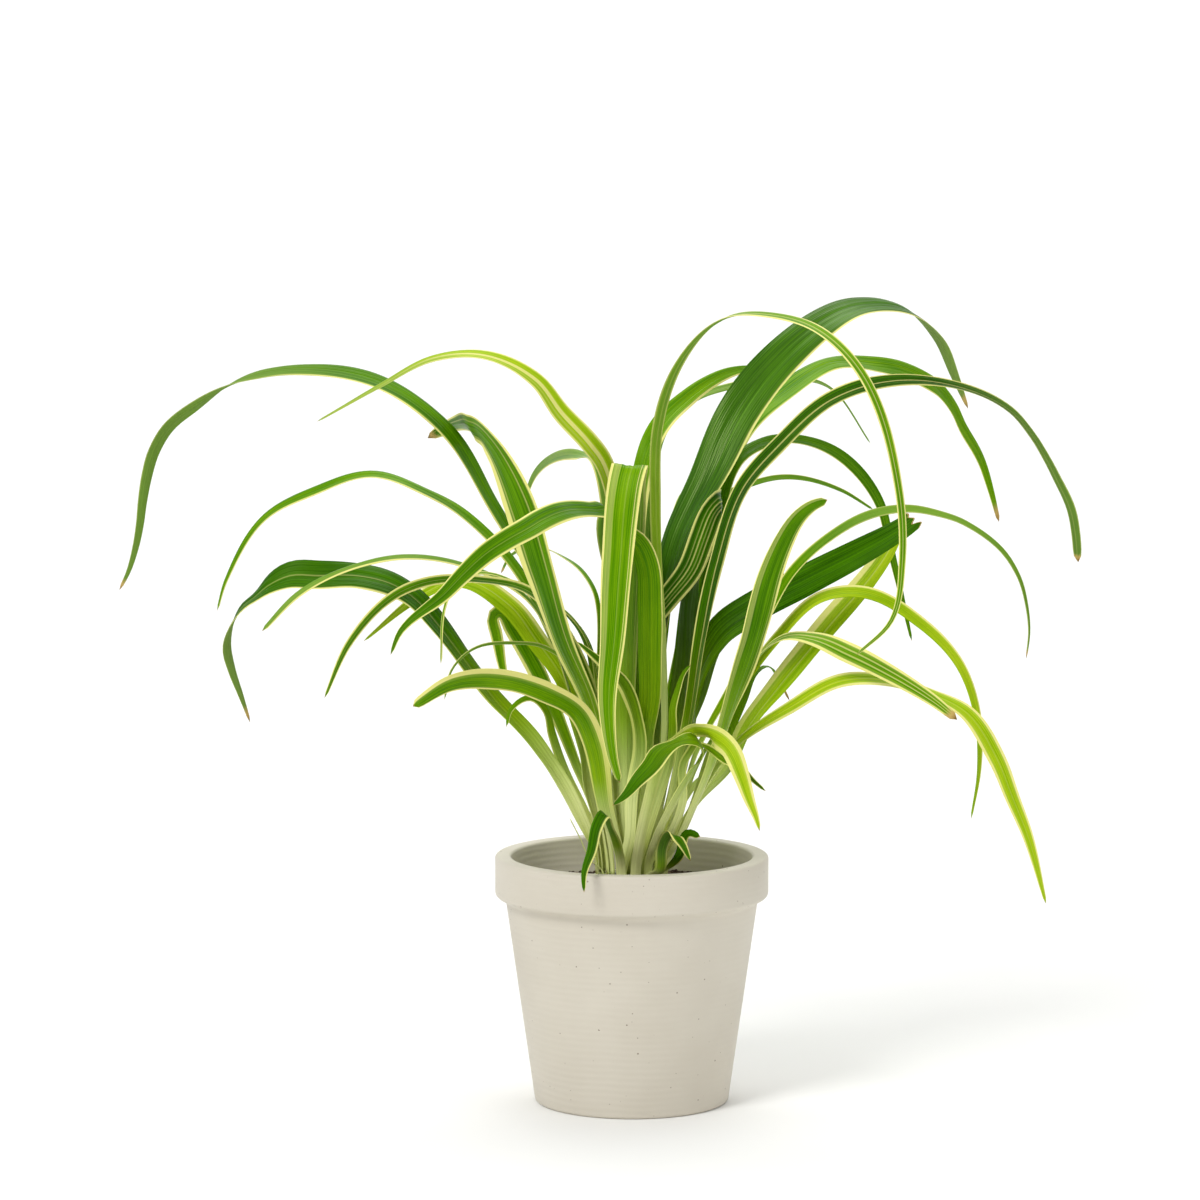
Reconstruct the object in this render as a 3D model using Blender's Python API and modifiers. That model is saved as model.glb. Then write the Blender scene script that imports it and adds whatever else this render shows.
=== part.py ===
"""Potted chlorophytum (spider plant): a plain round pot, its soil, the crown and the strap leaves.

The origin is the middle of the pot's foot, +Z is up, +X is to the right and +Y to the back.
Sizes in the constants and leaf records are millimetres; Blender's own unit is the metre.
"""

import math
from typing import NamedTuple

import bmesh
import bpy
from mathutils import Quaternion, Vector
from mathutils.geometry import interpolate_bezier

MM = 0.001
CLEARANCE = 0.3
MERGE_DISTANCE = 0.00001
SHARP_ANGLE = 35.0

POT_HEIGHT = 100.0
RIM_RADIUS = 55.0
FOOT_RADIUS = 39.0
POT_WALL = 4.5
POT_FLOOR = 6.0
RIM_BAND_HEIGHT = 16.0
RIM_BAND_DEPTH = 2.0
POT_ROUNDING = 1.2
POT_BEVEL_FROM = 40.0
TURN_STEPS = 48

SOIL_EDGE_HEIGHT = 86.0
SOIL_MIDDLE_HEIGHT = 89.0
SOIL_STEPS = 40

CROWN_RADIUS = 16.0
CROWN_TOP = 92.0
CROWN_DEPTH = 26.0
CROWN_SHOULDER = 1.5
CROWN_STEPS = 28

# The leaves stand on the crown in rings, from the middle outwards: (radius, number of places).
RINGS = ((3.0, 3), (5.2, 6), (7.4, 8), (9.6, 11), (11.8, 13), (14.0, 15))

LEAF_THICKNESS = 0.7
LEAF_STALK_WIDTH = 4.6
LEAF_TIP_WIDTH = 1.0
LEAF_FULL_FROM = 0.35
LEAF_TAPER_FROM = 0.45
LEAF_TAPER_POWER = 2.4
LEAF_FOLD_BASE = 26.0
LEAF_FOLD_TIP = 9.0
SPAN_STEPS = 12
BEND_REACH = 16.0
LEAF_CELLS_ACROSS = 2
MM_PER_CELL = 17.0
FEWEST_CELLS = 9
MOST_CELLS = 18

POT_COLOR = (0.72, 0.69, 0.62)
SOIL_COLOR = (0.035, 0.022, 0.014)
CROWN_COLOR = (0.55, 0.58, 0.32)
MID_GREEN = (0.09, 0.27, 0.01)
DARK_GREEN = (0.03, 0.16, 0.01)
LIME_GREEN = (0.27, 0.48, 0.01)
GREY_GREEN = (0.16, 0.29, 0.08)

POT_ROUGHNESS = 0.6
SOIL_ROUGHNESS = 0.95
CROWN_ROUGHNESS = 0.6
LEAF_ROUGHNESS = 0.4


class Leaf(NamedTuple):
    """One strap leaf, as it grows out of the crown."""

    name: str
    seat: tuple[int, int]  # ring of the crown and place in that ring
    widest: float
    turns: tuple[float, ...]  # degrees about the midrib, evenly spaced from the seat to the tip
    midrib: tuple[tuple[float, float, float], ...]  # points above the seat, (x, y, z)
    tip: float = LEAF_TIP_WIDTH
    full_from: float = LEAF_FULL_FROM  # share of the length where the blade has its full width
    tone: tuple[float, float, float] = MID_GREEN


LEAVES = (
    Leaf(
        "left_long",
        seat=(2, 4),
        widest=10,
        turns=(0, -5, -15, -20, -30, -35, -40, -35, 25, 35, 65),
        midrib=(
            (-12, 5, 122), (-20, 6, 166), (-39, 7, 212), (-56, 10, 241), (-75, 13, 271),
            (-99, 17, 288), (-134, 24, 294), (-159, 28, 289), (-178, 31, 278), (-188, 33, 270),
            (-194, 34, 260), (-197, 35, 250), (-199, 35, 239), (-200, 35, 231), (-202, 36, 221),
            (-205, 36, 211), (-209, 37, 203),
        ),
        tone=DARK_GREEN,
    ),
    Leaf(
        "left_second",
        seat=(4, 5),
        widest=7,
        turns=(0, 5, 5, 10, -25, -45),
        midrib=(
            (-14, 10, 121), (-25, 19, 166), (-44, 21, 210), (-68, 28, 235), (-82, 33, 243),
            (-105, 42, 250), (-129, 52, 243), (-152, 62, 230), (-168, 68, 204), (-172, 70, 191),
        ),
    ),
    Leaf(
        "left_folded",
        seat=(2, 5),
        widest=16,
        turns=(0, -5, -5, 15, -25, -75),
        midrib=(
            (-9, -10, 123), (-17, -15, 163), (-28, -19, 189), (-36, -23, 215), (-45, -23, 244),
            (-53, -21, 262), (-59, -16, 270), (-64, -2, 272), (-68, 20, 272), (-76, 37, 269),
            (-83, 40, 265),
        ),
        tip=6,
        full_from=0.5,
        tone=DARK_GREEN,
    ),
    Leaf(
        "left_front_arch",
        seat=(0, 2),
        widest=12,
        turns=(0, -5, -15, -20, -40, -15),
        midrib=(
            (-3, -6, 115), (-5, -2, 172), (-7, 0, 212), (-10, -2, 232), (-9, -4, 239),
            (-14, -12, 240), (-21, -19, 241), (-28, -30, 241), (-35, -40, 239), (-41, -48, 236),
            (-49, -55, 232), (-57, -60, 227), (-66, -64, 219), (-73, -68, 212), (-89, -76, 199),
            (-93, -79, 190),
        ),
        full_from=0.5,
        tone=DARK_GREEN,
    ),
    Leaf(
        "left_broad",
        seat=(5, 7),
        widest=15,
        turns=(0, -80, -45, -30, -25, -30, -45, -65, -20, 20, 25),
        midrib=(
            (-23, 2, 120), (-38, 3, 144), (-56, 4, 164), (-78, 5, 193), (-87, 6, 203),
            (-97, 7, 209), (-110, 8, 212), (-126, 9, 212), (-137, 10, 212), (-146, 10, 208),
            (-152, 11, 203), (-157, 11, 199), (-161, 11, 192), (-163, 11, 183), (-161, 11, 173),
            (-158, 11, 164), (-154, 11, 152),
        ),
        full_from=0.5,
        tone=DARK_GREEN,
    ),
    Leaf(
        "left_thin_over",
        seat=(3, 5),
        widest=5,
        turns=(0, -5, -10, -15, -20, -80),
        midrib=(
            (-14, 0, 122), (-24, -1, 163), (-34, -4, 192), (-43, -5, 205), (-65, -7, 217),
            (-90, -9, 221), (-112, -12, 217), (-132, -14, 207), (-147, -15, 192),
        ),
        full_from=0.8,
        tip=1.5,
        tone=GREY_GREEN,
    ),
    Leaf(
        "left_mid_striped",
        seat=(1, 3),
        widest=6,
        turns=(0, 5, 15, 25, 60, 95),
        midrib=(
            (-10, -1, 123), (-15, -2, 163), (-27, -6, 192), (-41, -13, 208), (-60, -18, 213),
            (-80, -24, 213), (-95, -29, 207), (-111, -34, 190), (-121, -37, 168),
        ),
        tone=DARK_GREEN,
    ),
    Leaf(
        "front_left_arch",
        seat=(3, 7),
        widest=10,
        turns=(0, 5, 10, 30, 65, 90),
        midrib=(
            (-11, -16, 123), (-15, -20, 147), (-21, -26, 161), (-33, -38, 170), (-52, -58, 178),
            (-70, -78, 179), (-84, -93, 172),
        ),
        tip=3.5,
    ),
    Leaf(
        "left_tiny",
        seat=(3, 6),
        widest=2.4,
        turns=(0, 10, 15, 25, 40, 50),
        midrib=(
            (-12, -5, 123), (-15, -5, 156), (-21, -5, 174), (-33, -8, 184), (-46, -21, 188),
            (-62, -29, 187), (-71, -33, 179), (-74, -35, 167),
        ),
    ),
    Leaf(
        "hanging_needle",
        seat=(1, 2),
        widest=2.4,
        turns=(0, 5, 10, 15, 20, 15),
        midrib=(
            (-8, 3, 122), (-12, 4, 163), (-22, 3, 193), (-44, -4, 209), (-60, -13, 215),
            (-69, -15, 212), (-74, -16, 203), (-76, -16, 179),
        ),
    ),
    Leaf(
        "lime_mid",
        seat=(4, 6),
        widest=10,
        turns=(0, -15, -30, -50, -45, -45),
        midrib=(
            (-13, 3, 107), (-18, 4, 126), (-19, 5, 142), (-27, 7, 169), (-38, 10, 185),
            (-49, 13, 199), (-68, 18, 209), (-86, 23, 202), (-109, 29, 183),
        ),
        tone=LIME_GREEN,
    ),
    Leaf(
        "folded_back",
        seat=(5, 6),
        widest=8,
        turns=(0, -5, -10, -15, -20, -30, -50, -65, -100, -130, -115),
        midrib=(
            (-16, 9, 118), (-23, 12, 136), (-32, 17, 158), (-38, 20, 171), (-48, 25, 188),
            (-53, 28, 195), (-56, 30, 193), (-55, 29, 186), (-54, 29, 181), (-53, 28, 175),
            (-51, 27, 166),
        ),
        tip=2.5,
        full_from=0.6,
    ),
    Leaf(
        "small_hook",
        seat=(5, 5),
        widest=4,
        turns=(0, -10, -20, -25, -5, 25),
        midrib=(
            (-18, 16, 113), (-26, 12, 130), (-29, 9, 138), (-32, 4, 148), (-35, -6, 160),
            (-41, -12, 165), (-48, -16, 161), (-50, -18, 154),
        ),
    ),
    Leaf(
        "thin_arc",
        seat=(2, 3),
        widest=2.2,
        turns=(0, -10, -20, -30, 10, 25),
        midrib=(
            (-8, 8, 121), (-13, 13, 165), (-14, 30, 200), (-19, 41, 209), (-29, 61, 215),
            (-40, 87, 216), (-51, 109, 210), (-55, 117, 202),
        ),
    ),
    Leaf(
        "back_left",
        seat=(2, 2),
        widest=6,
        turns=(0, 15, 30, 35, -80, -120),
        midrib=(
            (-5, 11, 121), (-6, 22, 170), (-8, 31, 215), (-13, 39, 252), (-21, 65, 256),
            (-33, 102, 252), (-41, 126, 243), (-46, 143, 229),
        ),
        tone=GREY_GREEN,
    ),
    Leaf(
        "left_top",
        seat=(0, 1),
        widest=9,
        turns=(0, 10, 20, 5, 50, 55),
        midrib=(
            (-4, 4, 122), (-4, 8, 175), (-5, 8, 227), (-11, 2, 257), (-17, -1, 266), (-28, -2, 278),
            (-38, -3, 291), (-58, -5, 301), (-79, -7, 300), (-100, -9, 289), (-125, -11, 275),
        ),
        tone=LIME_GREEN,
    ),
    Leaf(
        "centre_low_left",
        seat=(4, 9),
        widest=7,
        turns=(0, -5, -10, -15, 35, 40),
        midrib=(
            (-1, -16, 110), (0, -18, 128), (3, -20, 147), (1, -23, 161), (-4, -26, 173),
            (-11, -29, 180), (-22, -33, 190),
        ),
        full_from=0.6,
        tone=DARK_GREEN,
    ),
    Leaf(
        "back_low_b",
        seat=(3, 3),
        widest=4,
        turns=(0, -5, -10, -20, -25, -30),
        midrib=(
            (-9, 10, 120), (-14, 17, 160), (-17, 22, 180), (-21, 27, 188), (-27, 35, 194),
        ),
        tone=DARK_GREEN,
    ),
    Leaf(
        "low_left_small",
        seat=(5, 10),
        widest=5,
        turns=(0, -15, -30, -35, -30, -30),
        midrib=(
            (-6, -21, 107), (-9, -29, 116), (-11, -37, 122), (-14, -44, 118), (-16, -53, 110),
            (-19, -61, 102), (-19, -62, 95),
        ),
        tone=DARK_GREEN,
    ),
    Leaf(
        "low_left_sliver",
        seat=(4, 7),
        widest=1.6,
        turns=(0, 0),
        midrib=(
            (-17, -5, 99), (-21, -6, 108), (-25, -7, 116),
        ),
    ),
    Leaf(
        "front_centre",
        seat=(1, 4),
        widest=15,
        turns=(0, 0, 0, 0, 5, 0),
        midrib=(
            (-2, -12, 116), (-3, -13, 160), (-3, -14, 205), (-2, -16, 240), (-2, -19, 252),
            (-1, -24, 259), (-3, -29, 252), (-6, -34, 222), (-8, -37, 191), (-10, -38, 167),
            (-8, -40, 146), (-5, -41, 135),
        ),
        tip=2.5,
        full_from=0.55,
    ),
    Leaf(
        "centre_upright",
        seat=(3, 8),
        widest=11,
        turns=(0, 0, 0, 0, 0, 0),
        midrib=(
            (4, -12, 112), (6, -15, 132), (5, -17, 149), (7, -18, 165), (7, -19, 185),
            (7, -21, 203), (6, -23, 219), (2, -25, 228), (-2, -26, 231), (-7, -27, 231),
        ),
        full_from=0.85,
        tip=8,
    ),
    Leaf(
        "thin_loop",
        seat=(1, 5),
        widest=6,
        turns=(0, -5, -20, -5, -5, 30),
        midrib=(
            (13, -11, 148), (12, -14, 188), (9, -16, 244), (10, -19, 273), (18, -30, 299),
            (34, -50, 317), (50, -67, 320), (71, -85, 314), (88, -100, 295), (99, -112, 256),
            (100, -118, 229), (96, -121, 208), (83, -121, 195),
        ),
    ),
    Leaf(
        "big_dark",
        seat=(1, 0),
        widest=18,
        turns=(0, 0, 10, 55, 30, -30),
        midrib=(
            (8, 3, 110), (10, 4, 154), (11, 6, 194), (18, 11, 226), (30, 18, 250), (43, 27, 276),
            (56, 35, 293), (77, 48, 311), (94, 59, 318), (114, 71, 316), (128, 80, 303),
            (135, 84, 288), (141, 88, 274),
        ),
        full_from=0.45,
        tone=DARK_GREEN,
    ),
    Leaf(
        "upper_mid",
        seat=(0, 0),
        widest=10,
        turns=(0, 20, 40, 60, 105, 95),
        midrib=(
            (3, 6, 121), (3, 12, 155), (2, 16, 190), (3, 18, 246), (9, 25, 267), (24, 45, 282),
            (39, 62, 290), (60, 88, 292),
        ),
        full_from=0.5,
    ),
    Leaf(
        "upper_mid_back",
        seat=(1, 1),
        widest=4.5,
        turns=(0, 0, -5, -5, 10, 30),
        midrib=(
            (5, 11, 121), (5, 19, 155), (6, 25, 195), (8, 31, 238), (11, 42, 264), (23, 62, 278),
            (45, 92, 284), (68, 125, 285), (88, 150, 278), (105, 165, 254),
        ),
        tone=GREY_GREEN,
    ),
    Leaf(
        "striped_fold",
        seat=(3, 1),
        widest=13,
        turns=(0, 0, -5, -5, -5, -15, -35, -40, -10, 0, 0),
        midrib=(
            (12, 17, 121), (18, 20, 153), (22, 18, 178), (23, 14, 201), (28, 6, 222), (34, 2, 234),
            (35, -1, 240), (35, -5, 242), (32, -8, 239), (28, -9, 229), (23, -8, 216),
            (15, -5, 205), (5, -1, 192),
        ),
        tip=8,
        full_from=0.5,
        tone=DARK_GREEN,
    ),
    Leaf(
        "front_mid",
        seat=(4, 10),
        widest=4,
        turns=(0, 5, 10, 15, -10, -15),
        midrib=(
            (5, -17, 108), (10, -21, 125), (15, -25, 142), (16, -28, 154), (16, -30, 163),
            (18, -31, 171), (20, -32, 177), (23, -33, 181),
        ),
        tone=DARK_GREEN,
    ),
    Leaf(
        "right_back_broad",
        seat=(5, 2),
        widest=11,
        turns=(0, 0, 5, 5, 60, 100),
        midrib=(
            (12, 21, 121), (20, 29, 170), (29, 36, 220), (44, 48, 266), (66, 71, 284),
            (84, 90, 293), (104, 112, 291), (117, 126, 288), (129, 138, 282), (134, 144, 278),
            (140, 150, 270), (144, 154, 262), (151, 162, 251), (154, 166, 245), (157, 168, 236),
            (162, 174, 219),
        ),
        tip=1.5,
    ),
    Leaf(
        "right_long_arch",
        seat=(2, 7),
        widest=9,
        turns=(0, 5, 0, -5, 15, -10),
        midrib=(
            (13, -8, 112), (22, -9, 155), (27, -10, 188), (33, -12, 218), (43, -13, 248),
            (57, -10, 265), (78, -14, 284), (103, -18, 292), (128, -23, 290), (148, -26, 281),
            (157, -28, 271), (163, -29, 261), (166, -29, 255), (172, -30, 242), (174, -31, 232),
            (175, -31, 221),
        ),
        tip=4.5,
        tone=DARK_GREEN,
    ),
    Leaf(
        "right_mid_arch",
        seat=(4, 2),
        widest=6,
        turns=(0, 5, 5, 20, 105, 115),
        midrib=(
            (16, 16, 119), (26, 24, 176), (34, 30, 224), (42, 35, 255), (55, 46, 263),
            (70, 58, 263), (89, 75, 254), (104, 87, 235), (110, 93, 212), (119, 100, 175),
        ),
        tone=DARK_GREEN,
    ),
    Leaf(
        "right_thin_arch",
        seat=(4, 3),
        widest=3,
        turns=(0, 0, 0, -5, 30, 70),
        midrib=(
            (8, 24, 119), (17, 38, 168), (29, 47, 219), (37, 53, 239), (49, 66, 244), (68, 94, 245),
            (90, 125, 237), (105, 145, 227),
        ),
    ),
    Leaf(
        "broken_leaf",
        seat=(3, 0),
        widest=14,
        turns=(0, 5, 10, 50, 60, 40),
        midrib=(
            (17, 5, 118), (23, 5, 146), (25, 6, 168), (35, 7, 189), (47, 7, 198), (70, 10, 210),
            (92, 13, 221), (108, 15, 230), (115, 16, 235),
        ),
        tip=9,
        full_from=0.45,
        tone=DARK_GREEN,
    ),
    Leaf(
        "front_upright",
        seat=(4, 12),
        widest=12,
        turns=(0, -5, -5, -35, -70, -90),
        midrib=(
            (18, -12, 106), (25, -15, 123), (32, -20, 141), (39, -31, 166), (47, -37, 191),
            (54, -42, 218), (59, -46, 231), (64, -50, 240), (69, -54, 245), (75, -59, 248),
        ),
        full_from=0.5,
        tip=3,
        tone=DARK_GREEN,
    ),
    Leaf(
        "right_thin_long",
        seat=(2, 0),
        widest=5,
        turns=(0, 20, 45, 35, 10, 5),
        midrib=(
            (18, -3, 115), (26, -6, 143), (41, -11, 172), (53, -14, 198), (64, -17, 217),
            (83, -22, 234), (95, -26, 240), (108, -29, 242), (121, -32, 240), (130, -35, 237),
            (144, -38, 227), (151, -40, 216), (154, -41, 205), (155, -42, 195), (154, -41, 184),
        ),
        tip=0.8,
    ),
    Leaf(
        "right_arch_lime",
        seat=(4, 0),
        widest=6,
        turns=(0, 20, 35, 45, 40, 30),
        midrib=(
            (23, 0, 117), (31, -1, 141), (45, -6, 171), (58, -7, 189), (75, -9, 205),
            (94, -12, 207), (115, -14, 195), (130, -16, 179), (137, -17, 160), (138, -17, 137),
            (135, -17, 117),
        ),
        tone=LIME_GREEN,
    ),
    Leaf(
        "lime_behind",
        seat=(5, 0),
        widest=11,
        turns=(0, 15, 25, 45, 70, 75),
        midrib=(
            (25, 9, 118), (39, 14, 134), (46, 17, 149), (59, 21, 166), (79, 29, 189), (96, 35, 208),
            (104, 38, 219), (109, 40, 229),
        ),
        full_from=0.45,
        tip=6,
        tone=LIME_GREEN,
    ),
    Leaf(
        "right_low_broad",
        seat=(3, 10),
        widest=10,
        turns=(0, 0, 0, 5, 65, 65),
        midrib=(
            (18, -9, 112), (25, -13, 136), (41, -20, 165), (50, -22, 183), (60, -27, 191),
            (72, -32, 191), (85, -38, 186), (98, -44, 180), (117, -52, 169), (126, -56, 162),
        ),
        tip=3,
        full_from=0.6,
    ),
    Leaf(
        "right_low_long",
        seat=(5, 14),
        widest=9,
        turns=(0, 25, 40, 5, 65, 65),
        midrib=(
            (22, -4, 112), (29, -7, 128), (43, -14, 148), (63, -23, 163), (82, -30, 174),
            (101, -37, 175), (118, -43, 170), (131, -48, 163), (142, -52, 146), (148, -54, 131),
            (154, -56, 116), (161, -59, 90),
        ),
        full_from=0.65,
        tone=LIME_GREEN,
    ),
    Leaf(
        "dark_narrow",
        seat=(5, 1),
        widest=4,
        turns=(0, 5, 10, 15, 5, -20),
        midrib=(
            (24, 15, 124), (35, 22, 134), (40, 25, 146), (46, 29, 159), (51, 32, 170),
            (56, 35, 172), (61, 38, 165), (65, 40, 157),
        ),
    ),
    Leaf(
        "back_stem",
        seat=(4, 1),
        widest=7,
        turns=(0, 0),
        midrib=(
            (16, 11, 119), (22, 13, 147), (28, 14, 162), (34, 17, 179), (45, 24, 196),
        ),
        tone=GREY_GREEN,
    ),
    Leaf(
        "front_low_left",
        seat=(4, 11),
        widest=12,
        turns=(0, 5, 10, 10, 15, 25, 75, 110, 70, 50, 50),
        midrib=(
            (9, -19, 108), (17, -30, 127), (24, -36, 140), (27, -41, 147), (25, -45, 152),
            (18, -50, 152), (11, -54, 149), (7, -57, 144), (2, -59, 139), (-3, -60, 133),
            (-8, -61, 129),
        ),
        full_from=0.8,
        tone=DARK_GREEN,
    ),
    Leaf(
        "front_low_right",
        seat=(5, 11),
        widest=10,
        turns=(0, 10, 20, 30, 40, 40, 5, -55, -85, -90, -90),
        midrib=(
            (3, -20, 108), (7, -27, 127), (11, -32, 142), (14, -34, 149), (21, -37, 154),
            (27, -42, 156), (33, -49, 154), (38, -55, 150), (42, -60, 141), (45, -63, 132),
            (48, -66, 124), (49, -67, 120),
        ),
        full_from=0.75,
        tone=LIME_GREEN,
    ),
    Leaf(
        "front_low_far",
        seat=(3, 9),
        widest=4,
        turns=(0, 0, -5, -15, -110, -115),
        midrib=(
            (15, -15, 110), (20, -21, 125), (20, -25, 140), (23, -28, 146), (25, -31, 149),
            (30, -35, 148), (36, -40, 144), (43, -44, 141), (47, -47, 137), (52, -50, 133),
        ),
        tone=DARK_GREEN,
    ),
    Leaf(
        "low_right_small",
        seat=(5, 12),
        widest=5,
        turns=(0, -15, -30, -40, 50, 50),
        midrib=(
            (11, -17, 96), (12, -19, 106), (15, -24, 112), (19, -30, 110), (23, -35, 103),
        ),
        tone=DARK_GREEN,
    ),
    Leaf(
        "low_right_tiny",
        seat=(5, 13),
        widest=4,
        turns=(0, -20, -40, -60, -80, -105),
        midrib=(
            (15, -13, 97), (19, -19, 103), (22, -22, 112), (27, -25, 111),
        ),
        tip=2.5,
        full_from=0.6,
        tone=DARK_GREEN,
    ),
    Leaf(
        "back_arch_a",
        seat=(3, 2),
        widest=9,
        turns=(0, 0),
        midrib=(
            (0, 14, 120), (-1, 25, 160), (-1, 38, 205), (-1, 72, 246), (-1, 105, 247),
            (0, 140, 229), (0, 162, 203), (0, 172, 176),
        ),
    ),
    Leaf(
        "back_arch_b",
        seat=(2, 1),
        widest=8,
        turns=(0, 0),
        midrib=(
            (6, 14, 120), (10, 27, 160), (15, 41, 210), (21, 65, 238), (26, 92, 240),
            (30, 120, 225), (32, 140, 197),
        ),
    ),
)


class Station(NamedTuple):
    """A cross-section of a leaf: where the midrib is, and the blade's own directions there."""

    point: Vector
    across: Vector
    upper: Vector
    share: float  # 0 at the seat, 1 at the tip


def smoothstep(share: float) -> float:
    share = min(1.0, max(0.0, share))
    return share * share * (3.0 - 2.0 * share)


def seat_point(seat: tuple[int, int]) -> Vector:
    """Where a leaf stands on the crown. Every second ring is turned by half a place."""
    ring, place = seat
    radius, places = RINGS[ring]
    angle = 2.0 * math.pi * (place + 0.5 * (ring % 2)) / places
    return Vector((radius * math.cos(angle), radius * math.sin(angle), CROWN_TOP + CLEARANCE))


def smooth_route(marks: list[Vector]) -> list[Vector]:
    """Close points on a smooth curve that starts upright and passes through every mark."""
    spans = [high - low for low, high in zip(marks, marks[1:])]
    headings = [Vector((0.0, 0.0, 1.0))]
    for before, after in zip(spans, spans[1:]):
        headings.append((before.normalized() + after.normalized()).normalized())
    headings.append(spans[-1].normalized())
    route = []
    for i, span in enumerate(spans):
        reach = span.length / 3.0
        handle_out = marks[i] + headings[i] * reach
        handle_in = marks[i + 1] - headings[i + 1] * reach
        pieces = interpolate_bezier(marks[i], handle_out, handle_in, marks[i + 1], SPAN_STEPS + 1)
        route.extend(pieces[:-1])
    route.append(marks[-1])
    return route


def turn_at(turns: tuple[float, ...], share: float) -> float:
    """The leaf's turn about its midrib in radians, eased from one key to the next."""
    place = min(share, 1.0) * (len(turns) - 1)
    key = min(int(place), len(turns) - 2)
    eased = smoothstep(place - key)
    return math.radians(turns[key] + (turns[key + 1] - turns[key]) * eased)


def stations_of(leaf: Leaf) -> list[Station]:
    """Stations at every close point of the midrib, with the upper side first facing the axis."""
    seat = seat_point(leaf.seat)
    route = smooth_route([seat, *(Vector(mark) for mark in leaf.midrib)])
    lengths = [0.0]
    for low, high in zip(route, route[1:]):
        lengths.append(lengths[-1] + (high - low).length)
    upper = Vector((-seat.x, -seat.y, 0.0)).normalized()
    stations = []
    for i, point in enumerate(route):
        heading = (route[min(i + 1, len(route) - 1)] - route[max(i - 1, 0)]).normalized()
        upper = (upper - heading * upper.dot(heading)).normalized()
        share = lengths[i] / lengths[-1]
        turned = Quaternion(heading, turn_at(leaf.turns, share)) @ upper
        stations.append(Station(point, heading.cross(turned), turned, share))
    return stations


def chosen_stations(stations: list[Station]) -> list[Station]:
    """The stations that the solid uses, closer together where the leaf bends."""
    effort = [0.0]
    for low, high in zip(stations, stations[1:]):
        bend = low.upper.angle(high.upper) + low.across.angle(high.across)
        effort.append(effort[-1] + (high.point - low.point).length + BEND_REACH * bend)
    cells = min(MOST_CELLS, max(FEWEST_CELLS, round(effort[-1] / MM_PER_CELL)))
    chosen = []
    for cell in range(cells + 1):
        wanted = effort[-1] * cell / cells
        nearest = min(range(len(effort)), key=lambda i: abs(effort[i] - wanted))
        chosen.append(stations[nearest])
    return chosen


def half_width(leaf: Leaf, share: float) -> float:
    """Half the blade's width: a narrow stalk that opens to the full blade and tapers to the tip."""
    stalk = min(LEAF_STALK_WIDTH, leaf.widest)
    width = stalk + (leaf.widest - stalk) * smoothstep(share / leaf.full_from)
    past = max(0.0, share - LEAF_TAPER_FROM) / (1.0 - LEAF_TAPER_FROM)
    return (leaf.tip + (width - leaf.tip) * (1.0 - past**LEAF_TAPER_POWER)) / 2.0


def blade_point(leaf: Leaf, station: Station, side: float) -> Vector:
    """A point of the blade: side is -1 and 1 at the margins and 0 on the midrib."""
    half = half_width(leaf, station.share)
    fold = LEAF_FOLD_BASE + (LEAF_FOLD_TIP - LEAF_FOLD_BASE) * smoothstep(2.0 * station.share)
    rise = half * math.sin(math.radians(fold)) * (abs(side) - 0.5)
    reach = half * math.cos(math.radians(fold)) * side
    return station.point + station.across * reach + station.upper * rise


def make_leaf(leaf: Leaf, collection: bpy.types.Collection, material: bpy.types.Material) -> None:
    """The leaf as a grid laid along its midrib, folded along the middle and given its thickness."""
    stations = chosen_stations(stations_of(leaf))
    blade = bmesh.new()
    cells = len(stations) - 1
    bmesh.ops.create_grid(blade, x_segments=LEAF_CELLS_ACROSS, y_segments=cells, size=1.0)
    for vertex in blade.verts:
        row = round((vertex.co.y + 1.0) / 2.0 * cells)
        vertex.co = blade_point(leaf, stations[row], vertex.co.x) * MM
    bmesh.ops.triangulate(blade, faces=blade.faces, quad_method="FIXED")
    leaf_object = add_object(leaf.name, mesh_of(blade, leaf.name), collection, material)
    thicken = leaf_object.modifiers.new("Thickness", "SOLIDIFY")
    thicken.thickness = LEAF_THICKNESS * MM
    thicken.offset = 0.0


def mesh_of(shape: bmesh.types.BMesh, name: str) -> bpy.types.Mesh:
    mesh = bpy.data.meshes.new(name)
    shape.to_mesh(mesh)
    shape.free()
    mesh.shade_smooth()
    mesh.set_sharp_from_angle(angle=math.radians(SHARP_ANGLE))
    return mesh


def add_object(
    name: str,
    mesh: bpy.types.Mesh,
    collection: bpy.types.Collection,
    material: bpy.types.Material,
) -> bpy.types.Object:
    mesh.materials.append(material)
    made = bpy.data.objects.new(name, mesh)
    collection.objects.link(made)
    return made


def make_turned(
    name: str,
    profile: list[tuple[float, float]],
    steps: int,
    collection: bpy.types.Collection,
    material: bpy.types.Material,
) -> bpy.types.Object:
    """A solid turned about the Z axis from (radius, height) points, outer side from top to bottom."""
    outline = bmesh.new()
    corners = [outline.verts.new((radius * MM, 0.0, height * MM)) for radius, height in profile]
    for start, end in zip(corners, corners[1:]):
        outline.edges.new((start, end))
    turned = add_object(name, mesh_of(outline, name), collection, material)
    screw = turned.modifiers.new("Turn", "SCREW")
    screw.angle = 2.0 * math.pi
    screw.steps = steps
    screw.render_steps = steps
    screw.use_merge_vertices = True
    screw.merge_threshold = MERGE_DISTANCE
    return turned


def add_material(name: str, color: tuple[float, float, float], roughness: float) -> bpy.types.Material:
    material = bpy.data.materials.new(name)
    material.use_nodes = True
    shader = material.node_tree.nodes["Principled BSDF"]
    shader.inputs["Base Color"].default_value = (*color, 1.0)
    shader.inputs["Roughness"].default_value = roughness
    shader.inputs["Metallic"].default_value = 0.0
    return material


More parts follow.
